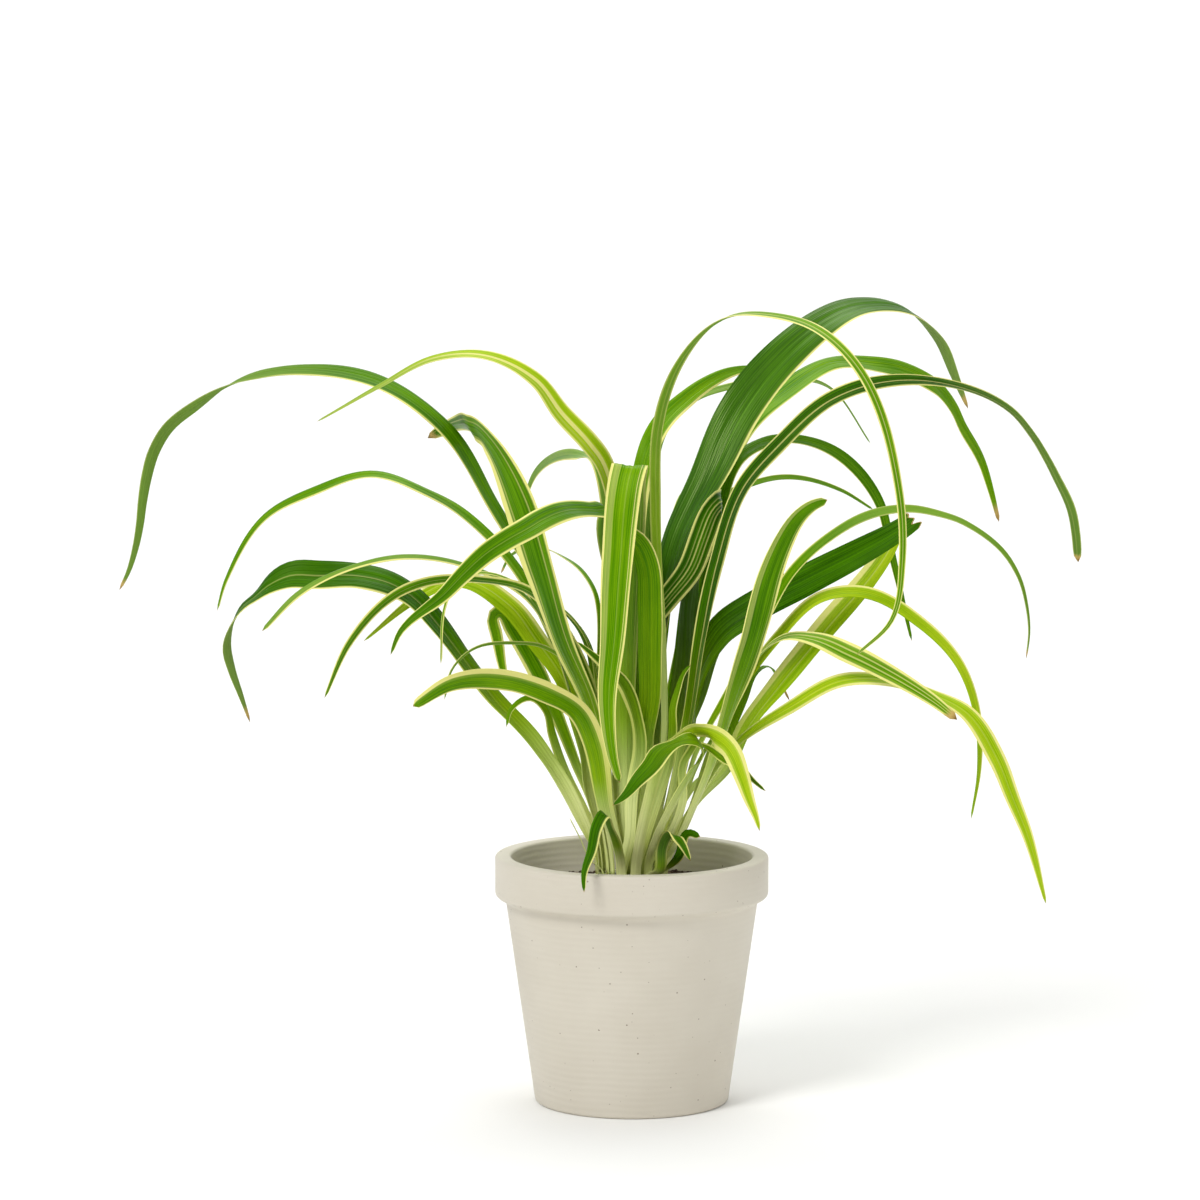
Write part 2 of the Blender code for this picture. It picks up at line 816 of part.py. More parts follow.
def outer_radius(height: float) -> float:
    """The pot's tapered side, from the foot to the rim band."""
    return FOOT_RADIUS + (RIM_RADIUS - RIM_BAND_DEPTH - FOOT_RADIUS) * height / POT_HEIGHT


def inner_radius(height: float) -> float:
    return outer_radius(height) - POT_WALL


def make_pot(collection: bpy.types.Collection, material: bpy.types.Material) -> None:
    """A plain tapered pot with a straight rim band and a closed flat foot."""
    band_foot = POT_HEIGHT - RIM_BAND_HEIGHT
    profile = [
        (0.0, POT_FLOOR),
        (inner_radius(POT_FLOOR), POT_FLOOR),
        (inner_radius(POT_HEIGHT), POT_HEIGHT),
        (RIM_RADIUS, POT_HEIGHT),
        (RIM_RADIUS, band_foot),
        (outer_radius(band_foot), band_foot - RIM_BAND_DEPTH),
        (FOOT_RADIUS, 0.0),
        (0.0, 0.0),
    ]
    pot = make_turned("pot", profile, TURN_STEPS, collection, material)
    rounding = pot.modifiers.new("Rounding", "BEVEL")
    rounding.width = POT_ROUNDING * MM
    rounding.segments = 2
    rounding.limit_method = "ANGLE"
    rounding.angle_limit = math.radians(POT_BEVEL_FROM)


def make_soil(collection: bpy.types.Collection, material: bpy.types.Material) -> None:
    """The filling of the pot, with a plain hole in the middle that the crown stands in."""
    hole_floor = CROWN_TOP - CROWN_DEPTH - CLEARANCE
    hole = CROWN_RADIUS + CLEARANCE
    bottom = POT_FLOOR + CLEARANCE
    profile = [
        (0.0, hole_floor),
        (hole, hole_floor),
        (hole, SOIL_MIDDLE_HEIGHT),
        (inner_radius(SOIL_EDGE_HEIGHT) - CLEARANCE, SOIL_EDGE_HEIGHT),
        (inner_radius(bottom) - CLEARANCE, bottom + POT_ROUNDING),
        (inner_radius(bottom) - CLEARANCE - POT_ROUNDING, bottom),
        (0.0, bottom),
    ]
    make_turned("soil", profile, SOIL_STEPS, collection, material)


def make_crown(collection: bpy.types.Collection, material: bpy.types.Material) -> None:
    """The short rootstock that carries every leaf."""
    shoulder = CROWN_RADIUS - CROWN_SHOULDER
    profile = [
        (0.0, CROWN_TOP),
        (shoulder, CROWN_TOP),
        (CROWN_RADIUS, CROWN_TOP - CROWN_SHOULDER),
        (CROWN_RADIUS, CROWN_TOP - CROWN_DEPTH),
        (0.0, CROWN_TOP - CROWN_DEPTH),
    ]
    make_turned("crown", profile, CROWN_STEPS, collection, material)


def clear_scene() -> None:
    for old in list(bpy.data.objects):
        bpy.data.objects.remove(old, do_unlink=True)


def main() -> None:
    clear_scene()
    plant = bpy.data.collections.new("potted_chlorophytum")
    bpy.context.scene.collection.children.link(plant)
    make_pot(plant, add_material("pot_stoneware", POT_COLOR, POT_ROUGHNESS))
    make_soil(plant, add_material("potting_soil", SOIL_COLOR, SOIL_ROUGHNESS))
    make_crown(plant, add_material("crown_tissue", CROWN_COLOR, CROWN_ROUGHNESS))
    for leaf in LEAVES:
        make_leaf(leaf, plant, add_material(leaf.name + "_green", leaf.tone, LEAF_ROUGHNESS))


if __name__ == "__main__":
    main()
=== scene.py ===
"""Dresses the potted chlorophytum: fine striped leaves, their crown, potting mix and a stoneware pot.

Sizes in the fields and records are millimetres. Blender's own unit is the metre.
"""

from __future__ import annotations

import logging
import math
import random
from dataclasses import dataclass
from enum import Enum
import bmesh
import bpy
import numpy as np
from mathutils import Matrix, Quaternion, Vector, noise
from mathutils.geometry import interpolate_bezier


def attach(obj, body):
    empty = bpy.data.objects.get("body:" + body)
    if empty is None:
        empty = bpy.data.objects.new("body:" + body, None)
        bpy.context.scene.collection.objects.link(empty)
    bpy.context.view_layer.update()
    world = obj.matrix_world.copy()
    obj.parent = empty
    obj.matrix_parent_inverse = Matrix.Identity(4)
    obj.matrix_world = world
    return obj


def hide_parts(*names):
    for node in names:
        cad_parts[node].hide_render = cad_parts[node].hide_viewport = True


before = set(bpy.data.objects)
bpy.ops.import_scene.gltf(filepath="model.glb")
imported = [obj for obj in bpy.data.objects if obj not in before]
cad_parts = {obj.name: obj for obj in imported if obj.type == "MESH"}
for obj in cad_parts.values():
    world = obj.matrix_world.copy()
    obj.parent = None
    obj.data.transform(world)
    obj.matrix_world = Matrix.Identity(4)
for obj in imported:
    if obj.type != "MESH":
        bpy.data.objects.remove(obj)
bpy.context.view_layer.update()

LOG = logging.getLogger("potted_chlorophytum")
MM = 0.001
BODY = "root"
MERGE_DISTANCE = 1e-7
Color = tuple[float, float, float, float]
Point = tuple[float, float, float]
Depths = tuple[float, float]  # how strongly a relief shows, and its depth
Socket = bpy.types.NodeSocket
Tree = bpy.types.NodeTree

# The sockets of a Mix node for colours: its share, its two colours and its result.
SHARE, FIRST, SECOND, MIXED = 0, 6, 7, 2
NOISE_STEP = 3.7  # sets the blades' noise apart, by the length of their names

# The blades' common form. Where no unit is given, sizes are in mm and angles in degrees.
STALK_WIDTH = 4.6
TAPER_FROM = 0.45  # share of the length
TAPER_POWER = 2.4
FOLD_BASE = 26.0
FOLD_TIP = 9.0
FOLD_RISE = 2.0  # the fold has opened at half the length
SPAN_STEPS = 12  # points from one mark of a midrib to the next
THICKNESS = 0.42
EDGE_POWER = 0.6  # how fast the thickness grows inwards from the margins
KEEL_SOFTNESS = 0.09  # share of half the width, as the next two are
MARGIN_ROLL = 0.07
ROLL_FROM = 0.6
ROLL_RISE = 3.0  # the margins are fully rolled at a third of the length
PLEAT_DEPTH = 0.16
PLEATS = 5
PLEATED_WIDTH = 4.0  # half the width below which the pleats fade
WAVE_DEPTH = 0.35
WAVE_REACH = 9.0  # along the blade, for each radian of the wave
WAVE_SKEW = 1.3  # radians from the midrib to a margin
WAVED_WIDTH = 5.0  # half the width below which the wave fades
TIP_ROUNDING = 2.5
ROUNDING_RISE = 1.2  # the least rounding, in widths of the tip
TORN_FROM = 0.9  # share of the length
TORN_FINENESS = 2.0  # of the ragged line, and its place in the noise
TORN_LAYER = 0.7
END_THINNING = 1.5
ROOTING = 1.4
COLUMNS_AT_LEAST = 10
COLUMNS_PER_MM = 1.2
MM_PER_ROW = 2.8
ROWS_AT_LEAST = 10


def linear(code: str) -> Color:
    """Turns an sRGB hex colour to the linear values that a shader takes.

    Args:
        code: Six hex digits, with or without a leading hash.

    Returns:
        Linear red, green and blue, and an alpha of 1.
    """
    digits = code.lstrip("#")
    shares = [int(digits[i : i + 2], 16) / 255.0 for i in (0, 2, 4)]
    values = [s / 12.92 if s <= 0.04045 else ((s + 0.055) / 1.055) ** 2.4 for s in shares]
    return (values[0], values[1], values[2], 1.0)


def add_node(
    tree: Tree,
    kind: str,
    inputs: dict[str | int, object] | tuple[object, ...] = (),
    output: str | int = 0,
    **settings: object,
) -> Socket:
    """Adds a node with its settings, input values and links.

    Args:
        tree: The material's node tree.
        kind: Blender's name for the node type, without its prefix.
        inputs: Values, or the sockets that feed the node, in its order or by name or number.
        output: Name or number of the output that is wanted.
        settings: The node's own properties.

    Returns:
        The wanted output.
    """
    node = tree.nodes.new("ShaderNode" + kind)
    for name, value in settings.items():
        setattr(node, name, value)
    for name, value in inputs.items() if isinstance(inputs, dict) else enumerate(inputs):
        if isinstance(value, Socket):
            tree.links.new(value, node.inputs[name])
        else:
            node.inputs[name].default_value = value
    return node.outputs[output]


def new_material(name: str) -> tuple[bpy.types.Material, Tree, bpy.types.Node]:
    """Makes a material to dress a piece with.

    Args:
        name: The finish's name.

    Returns:
        The material, its node tree and its Principled shader.
    """
    material = bpy.data.materials.new(name)
    material.use_nodes = True
    return material, material.node_tree, material.node_tree.nodes["Principled BSDF"]


def surface(tree: Tree, shader: bpy.types.Node, color: Socket, relief: Socket, depths: Depths) -> None:
    """Gives a shader its colour and its fine relief.

    Args:
        tree: The material's node tree.
        shader: The Principled shader.
        color: The colour.
        relief: The height, from 0 to 1.
        depths: How strongly the relief shows, and its depth.
    """
    tree.links.new(color, shader.inputs["Base Color"])
    strength, depth = depths
    bump = add_node(tree, "Bump", {"Height": relief, "Strength": strength, "Distance": depth * MM})
    tree.links.new(bump, shader.inputs["Normal"])


class Tone(Enum):
    """The greens of the blades, each as its deeper colour, its lighter streaks and its record slot."""

    DARK = ("#204E00", "#4A8200", "leaf_dark")
    DEEP = ("#336600", "#669A04", "leaf_dark")
    MID = ("#427C00", "#80AC08", "leaf_mid")
    # yellow-green: the blades' own green with painted light shining through the thin blades
    LIME = ("#7CA600", "#BCD024", "leaf_lime")
    GREY = ("#5A8A22", "#92B048", "leaf_grey")

    @property
    def slot(self) -> str:
        """The record's material slot of this tone."""
        return self.value[2]


@dataclass(frozen=True)
class LeafTissue:
    """Living leaf of the variegated form: waxy and glossy on top, dull below, with lengthwise veins.

    The chlorophyll-free cells of the margins and stripes show cream, the youngest tissue by the
    crown is pale, and the oldest, at the tip, has dried to tan.
    """

    name: str
    tone: Tone
    widest: float
    length: float
    low: float  # cream at the margin where side is -1, as a share of the width
    high: float  # and at the other margin
    stripes: tuple[tuple[float, float, float], ...]  # (place across, width, strength)
    pale: float  # how far the pale base reaches
    brown: float  # how much of the tip is dry
    young_to: float  # how much lime the young tissue shows past the pale base
    bands_from: float  # share of the length where the bands start
    dull: float  # how much greyer the back is
    gloss: float  # how strongly the wax reflects
    grey_sheen_from: float  # share of the length past which the front takes the back's grey too: painted grey sheen
    cream: str = "#E6E288"
    base: str = "#EEF4A8"
    young: str = "#A4C414"
    underside: str = "#7E9A48"
    dry: str = "#C2A662"
    dead: str = "#94703A"
    glint: str = "#DCF0A0"  # tint of the wax's reflections
    ior: float = 1.45
    roughness: float = 0.25  # smooth wax, then what the streaks and the back add
    streak_roughness: float = 0.16
    back_roughness: float = 0.26
    grey_sheen_ease: float = 0.12  # share of the length over which that painted grey sheen comes in
    vein_spacing: float = 0.9  # real veins lie about 0.5 mm apart, here wide enough to show
    fewest_veins: int = 5
    vein_contrast: float = 0.2
    wander: float = 0.07  # how far veins and bands stray, as a share of the width
    relief: Depths = (0.35, 0.16)
    streak_contrast: float = 2.2  # fine lengthwise streaks of the lighter green, and their loss
    streak_loss: float = 0.75
    patch_loss: float = 0.55  # the same for the broad patches
    edge_softness: float = 0.03
    halo: float = 0.3  # paler green next to a cream margin, and its width in margins
    halo_width: float = 0.9
    back_fading: float = 0.35  # how much fainter the bands are on the back
    fraying: float = 0.5  # how much the streaks fray the bands
    frayed_least: float = 0.3
    bands_ease: float = 0.06  # share of the length over which late bands start
    base_to: float = 0.95
    young_reach: float = 1.7  # in reaches of the pale base
    full_to: float = 0.25  # share of its reach over which a base colour is full
    age_streaks: float = 1.5  # how unevenly the base colours end, and their least share
    age_least: float = 0.25
    dry_ends: tuple[float, float] = (1.2, 0.7)  # from the tip, in lengths of the dry end
    dead_from: float = 0.6

    def dress(self) -> bpy.types.Material:
        """Builds the material.

        Returns:
            The finished material, which reads the blade's own map and its underside attribute.
        """
        material, tree, shader = new_material(self.name)
        chart = add_node(tree, "UVMap", uv_map="blade")
        axes = add_node(tree, "SeparateXYZ", (chart,)).node.outputs
        across, share = axes["X"], axes["Y"]
        along = add_node(tree, "Math", (share, self.length), operation="MULTIPLY")
        grain = self.grain(tree, across, along, fineness=2.2, along_fineness=0.012, detail=3.0)
        drift = self.grain(tree, across, along, fineness=0.05, along_fineness=0.03, detail=1.0)
        centred = add_node(tree, "Math", (drift, 0.5), operation="SUBTRACT")
        wander = add_node(tree, "Math", (centred, self.wander, across), operation="MULTIPLY_ADD")
        veins = self.veins(tree, wander)
        green = self.green(tree, grain, veins, along, across)
        under = add_node(tree, "Attribute", output="Fac", attribute_name="under")
        # Past that share the front takes the back's grey, as a painted grey sheen, and the back's
        # roughness.
        if self.grey_sheen_from < 1.0:
            ends = {"From Min": self.grey_sheen_from, "From Max": self.grey_sheen_from + self.grey_sheen_ease}
            sheened = add_node(tree, "MapRange", {"Value": share, **ends})
            under = add_node(tree, "Math", (under, sheened), operation="MAXIMUM")
        banded = self.banded(tree, green, wander, grain, share, under)
        faded = add_node(tree, "Math", (under, self.dull), operation="MULTIPLY")
        greyed = {SHARE: faded, FIRST: banded, SECOND: linear(self.underside)}
        dull = add_node(tree, "Mix", greyed, MIXED, data_type="RGBA")
        relief = add_node(tree, "Math", (veins, grain), operation="ADD")
        surface(tree, shader, self.aged(tree, dull, along, grain, across), relief, self.relief)
        roughnesses = (grain, self.streak_roughness, self.roughness)
        waxy = add_node(tree, "Math", roughnesses, operation="MULTIPLY_ADD")
        rough = add_node(tree, "Math", (under, self.back_roughness, waxy), operation="MULTIPLY_ADD")
        tree.links.new(rough, shader.inputs["Roughness"])
        shader.inputs["IOR"].default_value = self.ior
        shader.inputs["Specular IOR Level"].default_value = self.gloss
        shader.inputs["Specular Tint"].default_value = linear(self.glint)
        return material

    def grain(
        self,
        tree: Tree,
        across: Socket,
        along: Socket,
        fineness: float,
        along_fineness: float,
        detail: float,
    ) -> Socket:
        """Adds noise that is drawn out along the blade.

        Args:
            tree: The material's node tree.
            across: Share across the blade.
            along: Millimetres along the blade.
            fineness: Spots for each millimetre across.
            along_fineness: Spots for each millimetre along.
            detail: The noise's own octaves.

        Returns:
            The noise, from 0 to 1.
        """
        wide = add_node(tree, "Math", (across, self.widest * fineness), operation="MULTIPLY")
        far = add_node(tree, "Math", (along, along_fineness), operation="MULTIPLY")
        spot = add_node(tree, "CombineXYZ", (wide, far, float(len(self.name)) * NOISE_STEP))
        values = {"Vector": spot, "Scale": 1.0, "Detail": detail, "Roughness": 0.6}
        return add_node(tree, "TexNoise", values, "Fac")

    def veins(self, tree: Tree, wander: Socket) -> Socket:
        """Adds the parallel veins.

        Args:
            tree: The material's node tree.
            wander: Share across the blade, a little uneven.

        Returns:
            1 on a vein and 0 between two.
        """
        count = max(self.fewest_veins, round(self.widest / self.vein_spacing))
        turns = add_node(tree, "Math", (wander, 2.0 * math.pi * count), operation="MULTIPLY")
        wave = add_node(tree, "Math", (turns,), operation="SINE")
        return add_node(tree, "Math", (wave, 0.5, 0.5), operation="MULTIPLY_ADD")

    def green(self, tree: Tree, grain: Socket, veins: Socket, along: Socket, across: Socket) -> Socket:
        """Mixes the blade's greens in streaks.

        Args:
            tree: The material's node tree.
            grain: Fine lengthwise noise.
            veins: The parallel veins.
            along: Millimetres along the blade.
            across: Share across the blade.

        Returns:
            The green.
        """
        patches = self.grain(tree, across, along, fineness=0.12, along_fineness=0.03, detail=2.0)
        streaks = (grain, self.streak_contrast, -self.streak_loss)
        lighter = add_node(tree, "Math", streaks, operation="MULTIPLY_ADD")
        veined = add_node(tree, "Math", (veins, self.vein_contrast, lighter), operation="MULTIPLY_ADD")
        settled = add_node(tree, "Math", (veined, self.patch_loss), operation="SUBTRACT")
        mottled = add_node(tree, "Math", (patches, settled), operation="ADD")
        share = add_node(tree, "Clamp", (mottled,))
        deeper, streak = (linear(code) for code in self.tone.value[:2])
        return add_node(tree, "Mix", {SHARE: share, FIRST: deeper, SECOND: streak}, MIXED, data_type="RGBA")

    def banded(
        self, tree: Tree, green: Socket, wander: Socket, grain: Socket, share: Socket, under: Socket
    ) -> Socket:
        """Lays the cream margins and stripes over the green, fainter on the back.

        Args:
            tree: The material's node tree.
            green: The colour below.
            wander: Share across the blade, a little uneven.
            grain: Fine lengthwise noise.
            share: Share along the blade.
            under: 1 on the back of the blade.

        Returns:
            The banded colour.
        """
        seen = add_node(tree, "Math", (under, -self.back_fading, 1.0), operation="MULTIPLY_ADD")
        ramp = add_node(tree, "ValToRGB", (wander,))
        place_stops(ramp.node.color_ramp, self.band_stops())
        bands = add_node(tree, "Math", (ramp, seen), operation="MULTIPLY")
        centred = add_node(tree, "Math", (grain, 0.5), operation="SUBTRACT")
        frayed = add_node(tree, "Math", (centred, self.fraying, bands), operation="MULTIPLY_ADD")
        raised = add_node(tree, "Math", (frayed, self.frayed_least), operation="ADD")
        kept = add_node(tree, "Math", (bands, raised), operation="MULTIPLY")
        if self.bands_from:
            ends = {"From Min": self.bands_from, "From Max": self.bands_from + self.bands_ease}
            begun = add_node(tree, "MapRange", {"Value": share, **ends})
            kept = add_node(tree, "Math", (kept, begun), operation="MULTIPLY")
        strength = add_node(tree, "Clamp", (kept,))
        creamed = {SHARE: strength, FIRST: green, SECOND: linear(self.cream)}
        return add_node(tree, "Mix", creamed, MIXED, data_type="RGBA")

    def band_stops(self) -> list[tuple[float, float]]:
        """Where cream starts and ends across the blade.

        Returns:
            (place, strength) pairs in order.
        """
        soft = self.edge_softness
        halo = self.halo
        stops = [(0.0, 0.0)]
        if self.low:
            wide = self.low * self.halo_width
            stops = [(0.0, 1.0), (self.low, 1.0), (self.low + soft, halo), (self.low + soft + wide, 0.0)]
        for middle, width, strength in self.stripes:
            start, end = middle - width / 2.0, middle + width / 2.0
            stops += [(start - soft, 0.0), (start, strength), (end, strength), (end + soft, 0.0)]
        if self.high:
            wide = self.high * self.halo_width
            edge = 1.0 - self.high
            stops += [(edge - soft - wide, 0.0), (edge - soft, halo), (edge, 1.0), (1.0, 1.0)]
        return stops

    def aged(self, tree: Tree, paled: Socket, along: Socket, grain: Socket, across: Socket) -> Socket:
        """Pales the young base and dries the old tip.

        Args:
            tree: The material's node tree.
            paled: The colour so far.
            along: Millimetres along the blade.
            grain: Fine lengthwise noise.
            across: Share across the blade.

        Returns:
            The colour with its age.
        """
        streaks = (grain, self.age_streaks, self.age_least)
        uneven = add_node(tree, "Math", streaks, operation="MULTIPLY_ADD")
        youngest = (self.base, self.pale, self.base_to)
        for color, far, most in ((self.young, self.young_reach * self.pale, self.young_to), youngest):
            ends = {"From Min": self.full_to * far, "From Max": far, "To Min": most, "To Max": 0.0}
            part = add_node(tree, "MapRange", {"Value": along, **ends}, interpolation_type="SMOOTHSTEP")
            streaked = add_node(tree, "Math", (part, uneven), operation="MULTIPLY")
            share = add_node(tree, "Clamp", (streaked,))
            layered = {SHARE: share, FIRST: paled, SECOND: linear(color)}
            paled = add_node(tree, "Mix", layered, MIXED, data_type="RGBA")
        if not self.brown:
            return paled
        blotch = self.grain(tree, across, along, fineness=0.5, along_fineness=0.25, detail=3.0)
        centred = add_node(tree, "Math", (blotch, 0.5), operation="SUBTRACT")
        reach = add_node(tree, "Math", (centred, self.brown, along), operation="MULTIPLY_ADD")
        start, full = (self.length - share * self.brown for share in self.dry_ends)
        dry = add_node(tree, "MapRange", {"Value": reach, "From Min": start, "From Max": full})
        ends = {"From Min": self.length - self.dead_from * self.brown, "From Max": self.length}
        dead = add_node(tree, "MapRange", {"Value": reach, **ends})
        tans = {SHARE: dead, FIRST: linear(self.dry), SECOND: linear(self.dead)}
        dried = add_node(tree, "Mix", tans, MIXED, data_type="RGBA")
        return add_node(tree, "Mix", {SHARE: dry, FIRST: paled, SECOND: dried}, MIXED, data_type="RGBA")


def place_stops(ramp: bpy.types.ColorRamp, stops: list[tuple[float, float]]) -> None:
    """Sets a ramp's greys.

    Args:
        ramp: The ramp, as it is new.
        stops: (place, level) pairs in order.
    """
    elements = ramp.elements
    while len(elements) < len(stops):
        elements.new(1.0)
    while len(elements) > max(1, len(stops)):
        elements.remove(elements[-1])
    for element, (place, level) in zip(elements, stops):
        element.position = place
        element.color = (level, level, level, 1.0)


@dataclass(frozen=True)
class Blade:
    """One strap leaf. It grows out of the crown, keels along its midrib and arches over."""

    name: str
    seat: tuple[int, int]  # ring of the crown and place in that ring
    widest: float
    turns: tuple[float, ...]  # degrees about the midrib, evenly spaced from the seat to the tip
    midrib: tuple[tuple[float, float, float], ...]
    tip: float = 1.0
    full_from: float = 0.35
    torn: float = 0.0  # how far a broken end is ragged
    tone: Tone = Tone.MID
    low: float = 0.0
    high: float = 0.0
    stripes: tuple[tuple[float, float, float], ...] = ()
    pale: float = 70.0
    brown: float = 0.8
    young_to: float = 0.6
    bands_from: float = 0.0
    dull: float = 0.3
    gloss: float = 0.11
    # share of the length past which the front is painted with a grey sheen
    grey_sheen_from: float = 1.0
    outward: bool = False  # the glossy side faces away from the plant's axis

    def route(self) -> list[Vector]:
        """Finds close points on the smooth curve from the seat through every mark.

        Returns:
            The points in order.
        """
        marks = [SEATS.point(self.seat), *(Vector(mark) for mark in self.midrib)]
        spans = [high - low for low, high in zip(marks, marks[1:])]
        headings = [Vector((0.0, 0.0, 1.0))]
        for before, after in zip(spans, spans[1:]):
            headings.append((before.normalized() + after.normalized()).normalized())
        headings.append(spans[-1].normalized())
        points = []
        for i, span in enumerate(spans):
            reach = span.length / 3.0
            handle_out = marks[i] + headings[i] * reach
            handle_in = marks[i + 1] - headings[i + 1] * reach
            steps = SPAN_STEPS + 1
            points.extend(interpolate_bezier(marks[i], handle_out, handle_in, marks[i + 1], steps)[:-1])
        points.append(marks[-1])
        return points

    def sections(self) -> Sections:
        """Finds the blade's own directions along its midrib.

        Returns:
            The sections, close together, with the upper side first facing the plant's axis.
        """
        points = self.route()
        lengths = [0.0]
        for low, high in zip(points, points[1:]):
            lengths.append(lengths[-1] + (high - low).length)
        seat = points[0]
        upper = Vector((-seat.x, -seat.y, 0.0)).normalized()
        across, uppers = [], []
        for i in range(len(points)):
            heading = (points[min(i + 1, len(points) - 1)] - points[max(i - 1, 0)]).normalized()
            upper = (upper - heading * upper.dot(heading)).normalized()
            turned = Quaternion(heading, self.turn_at(lengths[i] / lengths[-1])) @ upper
            across.append(heading.cross(turned))
            uppers.append(turned)
        shares = np.array(lengths) / lengths[-1]
        return Sections(shares, np.array(points), np.array(across), np.array(uppers), lengths[-1])

    def turn_at(self, share: float) -> float:
        """Eases the turn about the midrib from one key to the next.

        Args:
            share: Share of the length.

        Returns:
            The turn in radians.
        """
        place = min(share, 1.0) * (len(self.turns) - 1)
        key = min(int(place), len(self.turns) - 2)
        rest = place - key
        eased = rest * rest * (3.0 - 2.0 * rest)
        return math.radians(self.turns[key] + (self.turns[key + 1] - self.turns[key]) * eased)

    def half_width(self, share: np.ndarray, length: float) -> np.ndarray:
        """Finds half the width: a stalk that opens to the full blade and tapers to the tip.

        Args:
            share: Shares of the length.
            length: The blade's length.

        Returns:
            Half the width at each share.
        """
        stalk = min(STALK_WIDTH, self.widest)
        width = stalk + (self.widest - stalk) * smoothstep(share / self.full_from)
        past = np.clip((share - TAPER_FROM) / (1.0 - TAPER_FROM), 0.0, 1.0)
        tapered = (self.tip + (width - self.tip) * (1.0 - past**TAPER_POWER)) / 2.0
        if self.torn:
            return tapered
        rounding = max(TIP_ROUNDING, ROUNDING_RISE * self.tip) / length
        last = np.clip((share - 1.0 + rounding) / rounding, 0.0, 1.0)
        return tapered * np.sqrt(np.clip(1.0 - last**2, 0.0, 1.0))

    def build(self) -> bpy.types.Object:
        """Builds the blade as a flattened tube with a keel, thin margins and a closed tip.

        Returns:
            The blade, dressed.
        """
        sections = self.sections()
        columns = 2 * round((COLUMNS_AT_LEAST + COLUMNS_PER_MM * self.widest) / 2.0)
        rows = round(sections.length / MM_PER_ROW) + ROWS_AT_LEAST
        blade = bmesh.new()
        bmesh.ops.create_grid(blade, x_segments=2 * columns, y_segments=rows, size=1.0)
        blade.verts.ensure_lookup_table()
        grid = np.array([vertex.co for vertex in blade.verts])
        around = np.round((grid[:, 0] + 1.0) * columns)
        row = np.round((grid[:, 1] + 1.0) / 2.0 * rows)
        side = -np.cos(math.pi * np.where(around <= columns, around, 2 * columns - around) / columns)
        face = np.where(around <= columns, 1.0, -1.0)
        share = row / rows
        chart = blade.loops.layers.uv.new("blade")
        under = blade.faces.layers.float.new("under")
        for polygon in blade.faces:
            faces_down = sum(vertex.co.x for vertex in polygon.verts) > 0.0
            polygon[under] = float(faces_down != self.outward)
            polygon.smooth = True
            for loop in polygon.loops:
                i = loop.vert.index
                loop[chart].uv = ((side[i] + 1.0) / 2.0, share[i])
        for vertex, place in zip(blade.verts, self.places(sections, side, face, share)):
            vertex.co = place * MM
        bmesh.ops.remove_doubles(blade, verts=blade.verts, dist=MERGE_DISTANCE)
        tissue = LeafTissue(
            name=self.name + "_tissue",
            tone=self.tone,
            widest=self.widest,
            length=sections.length,
            low=self.low,
            high=self.high,
            stripes=self.stripes,
            pale=self.pale,
            brown=self.brown,
            young_to=self.young_to,
            bands_from=self.bands_from,
            dull=self.dull,
            gloss=self.gloss,
            grey_sheen_from=self.grey_sheen_from,
        )
        leaf = shown(self.name + "_leaf", blade, tissue.dress())
        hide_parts(self.name)
        return leaf

    def places(
        self, sections: Sections, side: np.ndarray, face: np.ndarray, share: np.ndarray
    ) -> np.ndarray:
        """Finds where each vertex of the blade lies.

        Args:
            sections: The blade's directions along its midrib.
            side: -1 and 1 at the margins and 0 on the midrib.
            face: 1 on the upper side and -1 below.
            share: Share of the length.

        Returns:
            One point for each vertex.
        """
        if self.torn:
            spots = [Vector((TORN_FINENESS * s, TORN_LAYER, float(self.seat[1]))) for s in side]
            ragged = np.array([noise.noise(spot) for spot in spots])
            ends = 1.0 - self.torn / sections.length * (0.5 + ragged)
            past = np.clip((share - TORN_FROM) / (1.0 - TORN_FROM), 0.0, 1.0)
            share = share * (1.0 + (ends - 1.0) * past)
        point, across, upper = sections.at(share)
        half = self.half_width(share, sections.length)
        fold = np.radians(FOLD_BASE + (FOLD_TIP - FOLD_BASE) * smoothstep(FOLD_RISE * share))
        keel = np.sqrt(side**2 + KEEL_SOFTNESS**2) - KEEL_SOFTNESS
        rolled = smoothstep((np.abs(side) - ROLL_FROM) / (1.0 - ROLL_FROM))
        roll = MARGIN_ROLL * rolled * smoothstep(ROLL_RISE * share)
        folds = np.cos(math.pi * PLEATS * side) * (1.0 - side**2)
        pleats = PLEAT_DEPTH * folds * np.minimum(1.0, half / PLEATED_WIDTH)
        along = share * sections.length
        phase = sum(map(ord, self.name))
        swell = np.sin(along / WAVE_REACH + phase + WAVE_SKEW * side)
        wave = WAVE_DEPTH * swell * side**3 * np.minimum(1.0, half / WAVED_WIDTH)
        rise = half * np.sin(fold) * (keel - 0.5) - half * roll + pleats + wave
        reach = half * np.cos(fold) * side
        body = np.sqrt(np.clip(1.0 - side**2, 0.0, 1.0))
        ends = np.minimum(1.0, np.minimum(share, 1.0 - share) * sections.length / END_THINNING)
        thick = (THICKNESS / 2.0) * body**EDGE_POWER * np.sqrt(np.clip(ends, 0.0, 1.0))
        place = point + across * reach[:, None] + upper * (rise + thick * face)[:, None]
        place[:, 2] -= np.where(share == 0.0, ROOTING, 0.0)
        return place


